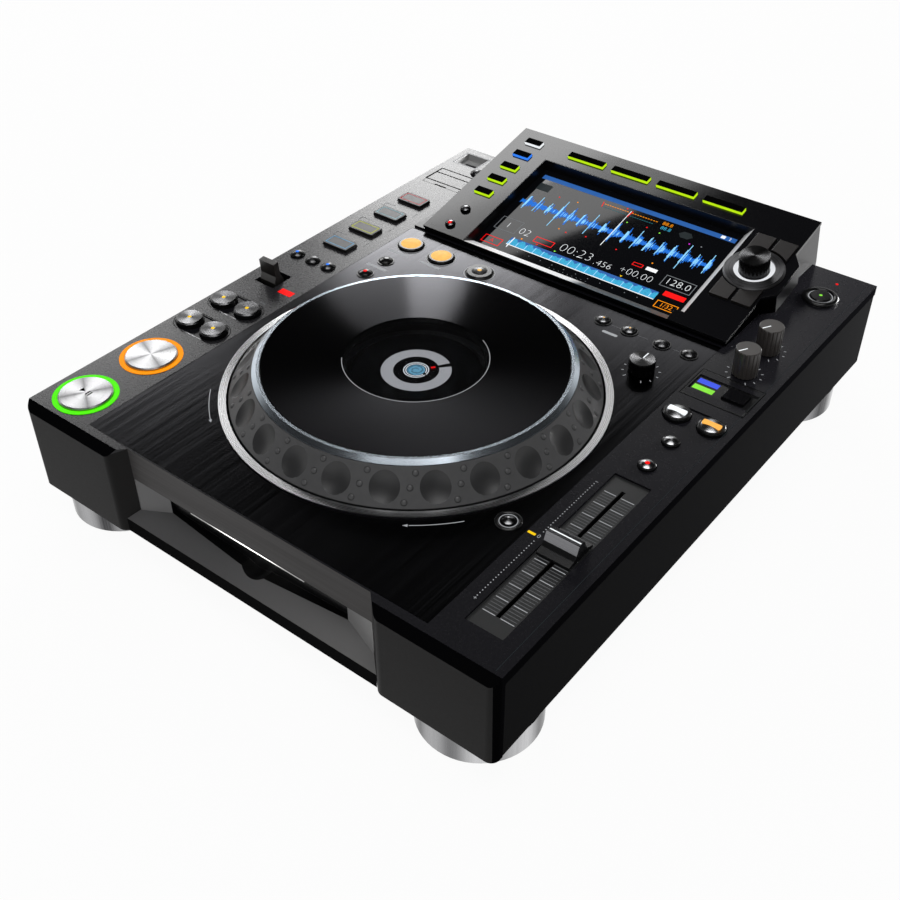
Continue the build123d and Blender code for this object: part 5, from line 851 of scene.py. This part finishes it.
for (x, y), name in zip(SYNC, ("white", "label_orange")):
    labels.rounded(x - 5.4, x + 5.4, y - 1.8, y + 1.8, 0.8, name, 2.2, 3.05)
labels.make()
key_top("tempo_key_tops", "tempo_keys", TEMPO, 3.9, 1.35, 1, 0.55)
lamp_dots("tempo_key_lamp", "tempo_keys", TEMPO[1:], 1.5, 2.15, 0.35, "red")
key_top("option_key_tops", "source_keys", OPTION, 2.9, 1.55, 0.6, 0.25, place=panel)
lamp_dots("option_key_lamp", "source_keys", OPTION[1:], 1.4, 2, 0.3, "red", panel)

# ---- rims and wells on the surfaces
rims = Plates("key_rims", deck)
# glowing rim_line rings round the loop, reset and eject keys: painted highlights
for spot, radius, width, name, base in (
        *[(spot, *line, 0) for spot in (LOOP_IN, LOOP_OUT, RELOOP)
          for line in ((9.3, 0.7, "bezel"), (9.85, 0.3, "rim_line"))],
        (RESET, 4.6, 0.4, "rim_line", 0.5), (EJECT, 7.1, 0.6, "rim_line", 1.4)):
    rims.arc(spot, radius, width, 0, 360, name, base + SINK, base + LIFT, 6)
for y in (SEARCH_Y, TRACK_Y):
    for x, start in ((LEFT, 90), (RIGHT, -90)):
        rims.arc((x, y), 9.9, 0.4, start, start + 180, "black", step=6)
    for side, name in ((9.9, "black"), (-9.9, "bezel_line")):
        rims.rect(LEFT, RIGHT, y + side - 0.2, y + side + 0.2, name)
rims.frame(-154.9, -121.6, 342.1, 361.8, 1, "black")
# glowing rim_line frame of the USB recess: painted highlight
rims.frame(-155.2, -134.2, 374.2, 393.1, 0.7, "rim_line")
rims.make()

rings = Plates("key_rings", deck)
rings.ring(EJECT, 9.1, 3.2, 1.4, 0.9, "bezel")
rings.ring(RESET, 6, 1.9, 0.4, 0.7, "bezel")
rings.ring(RELOOP, 8, 2, 0, 0.8, "bezel")
rings.make(smooth=True)

window = Plates("mode_window", deck)
window.frame(117.6, 156.6, 227.2, 255, 0.5, "black")
window.frame(118.1, 156.1, 227.7, 254.5, 1, "bezel")
window.make()

for name, y in PAD_Y.items():
    lines = Plates(name + "_line", raised(deck, 2), name)
    lines.frame(PAD_X - 8.7, PAD_X + 8.7, y - 4.5, y + 4.5, 0.55, name)
    lines.make()

marks = Plates("play_mark", raised(deck, 1.6), "play_button")
marks.solid([(-142.2, 24.2), (-139, 26), (-142.2, 27.8)], "black", SINK, 0.04)
for x in (-136.6, -134.9):
    marks.rect(x - 0.5, x + 0.5, 24.2, 27.8, "black", SINK, 0.04)
marks.make()

# ---- knobs and slider
# white pointer lines: print with a painted glow
for node, spot, top, turn in (
        ("release_knob", TALL_KNOBS[0], 17, 240), ("touch_knob", TALL_KNOBS[1], 17, 240),
        ("jog_adjust_knob", ADJUST, 8.5, 90)):
    pointer = Plates(node + "_pointer", deck, node)
    pointer.bar(around(spot, 0.8, turn), around(spot, 6.5, turn), 0.7, "white", top - 0.3,
                top + 0.05)
    pointer.make()
# white line on the slider cap: print with a painted glow
line = Plates("slider_cap_line", deck, "tempo_slider")
line.rect(128.7, 146.1, 84.55, 85.25, "white", 8.5, 8.86)
line.make()

# ---- jog wheel
studs = Plates("grip_studs", deck, "jog_dial")
slope = atan2(GRIP_DROP, GRIP_RUN)
for i in range(24):
    for along, aside in ((-7.3, -2.8), (0, 0), (7.3, 2.8)):
        angle = radians(15 * i + 7.5) + aside / 96
        a, b = cos(angle), sin(angle)
        side = Vector((-b, a, 0))
        normal = Vector((sin(slope) * a, sin(slope) * b, cos(slope)))
        out = GRIP_MIDDLE - along * cos(slope)
        centre = Vector((out * a, out * b, 8.7 + along * sin(slope))) + Vector((*JOG, 0))
        over = normal.cross(side)
        studs.place = lambda a, b, h: deck(*(centre + side * a + over * b + normal * h))
        # a ring of the darker rubber round each stud: painted shade
        for name, profile in (
                ("dimple", [(0, -0.2), (1.75, -0.2), (1.75, 0.02), (1.4, 0.02), (0, 0.02)]),
                ("rubber", [(0, -0.2), (1.4, -0.2), (1.35, 0.25), (1.05, 0.5), (0, 0.55)])):
            studs.revolved((0, 0), profile, name, 16)
studs.make(smooth=True)

# painted highlight: a glowing arc along the front and right of the window's hole
edge = Plates("plate_edge_painted_highlight", raised(deck, PLATE_TOP), "jog_plate")
edge.arc(JOG, 40.3, 0.36, -142, 62, "rim_line", SINK, 0.04, 3)
edge.make()

marker = Plates("jog_display_marks", raised(deck, DISPLAY_TOP))
for radius, width, start, end, name, step in (
        (16.1, 6.8, 57, 407, "grey", 3.5), (6.9, 0.5, 0, 352, "white", 8),
        (5.7, 0.5, 10, 350, "white", 10)):
    marker.arc(JOG, radius, width, start, end, name, SINK, 0.05, step)
marker.disc(JOG, 4.9, "disc_blue", 32, SINK, 0.05)
for k in range(7):
    marker.arc(JOG, 1.4 + 0.5 * k, 0.22, 40 + 67 * k, 150 + 83 * k, "black", 0, 0.09, 9)
marker.bar(around(JOG, 8.4, 52), around(JOG, 10.8, 52), 1.3, "red", 0, 0.1)
marker.make()

# ---- screen picture
show = Plates("screen_picture", raised(panel, SCREEN_H))
show.rect(-70.5, 76.5, 85.4, 89.4, "bar")
show.rounded(66, 69, 86.2, 88.8, 0.4, "white", 0, 0.1)
show.digits("2", (72.4, 87.4), 3.2, "white", low=0, high=0.1)
rng = random.Random(7)
for i in range(262):
    u = -69.6 + i * 0.55
    phase = ((u + 66) / BEAT) % 1
    spike = exp(-((phase - 0.07) / 0.055) ** 2)
    bulk = exp(-max(0, phase - 0.14) / 0.42) * (0.22 + 0.78 * rng.random() ** 1.3)
    tall = 0.9 + (9 * bulk if phase > 0.11 else 0)
    tall += 10.5 * spike * (0.55 + 0.45 * rng.random())
    drop = tall * (0.65 + 0.45 * rng.random())
    show.rect(u, u + 0.5, WAVE_V - drop, WAVE_V + tall, "wave_core" if spike > 0.45 else "wave")
    if bulk > 0.2 and rng.random() < 0.55:
        show.rect(u + 0.05, u + 0.45, WAVE_V - drop * 0.55, WAVE_V + tall * 0.55, "wave_core",
                  0, 0.1)
show.rect(2.5, 2.9, 45, 83, "white", 0, 0.14)
for a0, a1, b, name in ((-17, 2, 81.4, "orange"), (4, 24, 81.4, "orange"), (-17, 2, 78.4, "teal"),
                        (4, 22, 78.4, "teal")):
    for k in range(10):
        x = a0 + (a1 - a0) * k / 10
        show.rect(x, x + 1.3, b - 0.25, b + 0.25, name)
show.solid([(46 + 5 * a, 78 + 3.4 * b)
            for a, b in [around((0, 0), 1, 60 * k) for k in range(6)]], "tag_dark")
show.rect(-68, -58, 74, 81, "tag_dark")
show.bar((-18.6, 83), (-17.4, 78), 0.5, "red")
show.bar((3.9, 83), (2.9, 76.8), 0.6, "red", 0, 0.16)
show.digits("88.8", (30.5, 82), 4.4, "orange")
show.digits("88.8", (31.5, 77.6), 4.4, "cyan")
for u, v, name in (
        (-34, 74.5, "orange"), (-30, 46, "orange"), (-24, 45, "red"), (-10, 47.5, "red"),
        (6, 72, "leaf"), (14, 46, "red"), (20, 73.5, "red"), (30, 72.5, "leaf"),
        (41, 45.5, "orange"), (52, 72, "magenta"), (60, 73, "grey_line"),
        (-48, 73.5, "red"), (-1, 84, "red")):
    show.disc((u, v), 0.55, name, 10)
show.frame(-70, -53.5, 27.6, 40.2, 0.35, "grey_line")
show.digits("1", (-61.8, 33.6), 7.4, "white", 0.03)
show.digits("02", (-47.8, 32.4), 9, "white", 0.03)
show.frame(-70, -56, 12.6, 19.6, 0.5, "red")
show.digits("A", (-63, 16), 4.6, "red")
show.frame(-38.5, -24, 27.6, 33, 0.5, "red")
show.digits("00:23", (-6.8, 31.4), 11, "white", 0.034, stretch=1.04)
show.digits(".456", (14.2, 29.7), 7.6, "white", 0.03)
show.digits("+00.00", (37.4, 31.6), 8.6, "white", 0.032)
show.rect(40, 47.6, 38.4, 41.4, "white")
show.frame(30.2, 37.4, 38.4, 41.4, 0.45, "red")
show.frame(54.6, 75.8, 30.4, 40.6, 0.45, "grey_line")
show.digits("128.0", (65, 35.6), 8, "white", 0.026)
show.rect(61.2, 75.8, 23.4, 27.6, "red")
show.frame(61.2, 75.8, 12.2, 18.6, 0.5, "orange")
show.digits("1/32", (68.5, 15.4), 5, "orange")
show.rect(-52.6, 58.4, PROGRESS_V, 24.6, "bar", SINK, 0.05)
for i in range(150):
    u = -52.4 + i * 0.74
    tall = 3.4 + 2.6 * abs(sin(i * 0.37) * sin(i * 0.05 + 1)) + 0.6 * rng.random()
    show.rect(u, u + 0.62, PROGRESS_V, PROGRESS_V + tall, "cyan" if i % 9 else "wave_core",
              0, 0.1)
show.rect(-52.6, 58.4, 17.2, 17.8, "white")
show.rect(-51, -50.3, 15, 24.9, "white", 0, 0.16)
for k in range(12):
    show.disc((-50 + k * 9, 14.2), 0.35, "grey_line", 8)
for u, name in ((-46, "orange"), (-34, "red"), (-20, "leaf"), (30, "yellow")):
    show.solid([(u - 0.8, 26.6), (u + 0.8, 26.6), (u, 25.2)], name)
for k in range(9):
    show.disc((-14 + k * 3.4, 11.4), 0.25, "grey_line", 8)
show.make()

prints = Plates("panel_prints", panel)
prints.arc(SELECTOR, 11.1, 3.2, 0, 360, "ring_glow", 0, 0.6, 4)
for start, end in (((-73.9, -0.4), (-73.9, 95.6)), ((-73.9, 95.6), (84.9, 95.6))):
    prints.bar(start, end, 0.3, "bezel_line")
for k in range(3):
    prints.bar((-103 + k * 1.4, 3), (-103 + k * 1.4, 3.6), 0.3, "dim")
prints.make()

# ---- floor, lamps, world, camera
SPAN = 4
MIRRORED = ("Is Glossy Ray", "Is Transmission Ray")
floor_mesh = bpy.data.meshes.new("floor")
floor_mesh.from_pydata([(-SPAN, -SPAN, 0), (SPAN, -SPAN, 0), (SPAN, SPAN, 0), (-SPAN, SPAN, 0)],
                       [], [(0, 1, 2, 3)])
floor = new_object("floor", floor_mesh)
look = Look("floor_white")
look.shade(Base_Color=look.wander((0.9, 0.9, 0.9), 0.01, look.noise(4)), Roughness=0.9,
           Specular_IOR_Level=0)
share = look.math("MULTIPLY", look.rays("Is Camera Ray", *MIRRORED), 0.95)
glow = look.add("Emission", {"Strength": 1.0})
blend = look.add("MixShader", {0: share, 1: look.bsdf.outputs[0], 2: glow.outputs[0]})
look.put(look.tree.nodes["Material Output"].inputs["Surface"], blend.outputs[0])
floor_mesh.materials.append(look.mat)


def group(name, nodes, state="INCLUDE"):
    """Collection that a lamp lights, or all but which it lights."""
    members = bpy.data.collections.new(name)
    for index, node in enumerate(nodes):
        members.objects.link(NODES.get(node) or bpy.data.objects[node])
        members.collection_objects[index].light_linking.link_state = state
    return members


def soft_lamp(name, azimuth, elevation, distance, width, height, radiance, lights=None):
    """Rectangular soft lamp that faces the object, by direction and radiance."""
    data = bpy.data.lights.new(name, "AREA")
    data.shape = "RECTANGLE"
    data.size = width
    data.size_y = height
    data.energy = radiance * pi * width * height
    lamp = new_object(name, data)
    a, e = radians(azimuth), radians(elevation)
    away = Vector((cos(a) * cos(e), sin(a) * cos(e), sin(e)))
    lamp.location = away * distance + Vector((0, 0, 0.07))
    lamp.rotation_euler = away.to_track_quat("Z", "Y").to_euler()
    lamp.visible_camera = False
    lamp.light_linking.receiver_collection = lights


others = group("all_but_the_plate", ["jog_plate"], "EXCLUDE")
plate_only = group("plate_only", ["jog_plate"])
sides = group("body_sides", ["top_case", "bottom_case"])
glossy = group("display_gloss", [
    "display_panel", "screen", "selector_knob", "selector_keys", "screen_picture"])
for lamp in (("overhead", -60, 83, 2.4, 1.7, 1.7, 2.9),
             ("rear_left", 129, 21, 2.6, 0.6, 0.8, 9.5, others),
             ("left_side", 154, 26, 2.6, 0.8, 0.46, 7.5, others),
             ("rear_right", 112, 27, 2.6, 0.55, 0.6, 1.8, others),
             ("front_fill", -70, 22, 2.8, 2.4, 0.9, 0.9, others),
             ("plate_low", 129.2, 26, 2.6, 0.2, 0.26, 15, plate_only),
             ("plate_side", 133.5, 25, 2.6, 0.46, 0.26, 8, plate_only),
             ("side_glow", 60, 6, 0.62, 0.3, 0.2, 60, sides),
             ("display_row_0", 138, 38, 3, 1.35, 6 * tan(radians(7)), 5.2, glossy),
             ("display_row_1", 138, 46.6, 3, 1.35, 6 * tan(radians(1.5)), 2.4, glossy)):
    soft_lamp(*lamp)

world = bpy.data.worlds.new("studio")
world.use_nodes = True
bpy.context.scene.world = world
studio = Tree(world.node_tree)
up = studio.split(studio.add("TexCoord").outputs["Generated"])["Z"]
band = studio.span(up, sin(radians(9)), sin(radians(21)), 1, 0.015, "LINEAR")
soft = studio.add("Mix", {"Factor": studio.rays(*MIRRORED), "A": 0.2, "B": band})
full = studio.add("Mix", {"Factor": studio.rays("Is Camera Ray"), "A": soft.outputs["Result"],
                          "B": 0.985})
background = studio.tree.nodes["Background"]
studio.put(background.inputs["Strength"], full.outputs["Result"])
background.inputs["Color"].default_value = (1, 1, 1, 1)

data = bpy.data.cameras.new("camera")
data.lens = 47.756
data.sensor_width = 36
data.shift_x = -0.00789
data.shift_y = 0.0008
data.clip_start = 0.02
camera = new_object("camera", data)
camera.location = (0.345257, -0.467803, 0.466222)
camera.rotation_euler = (radians(50.645), 0, radians(37.806))
bpy.context.scene.camera = camera
bpy.context.scene.view_settings.view_transform = "Standard"
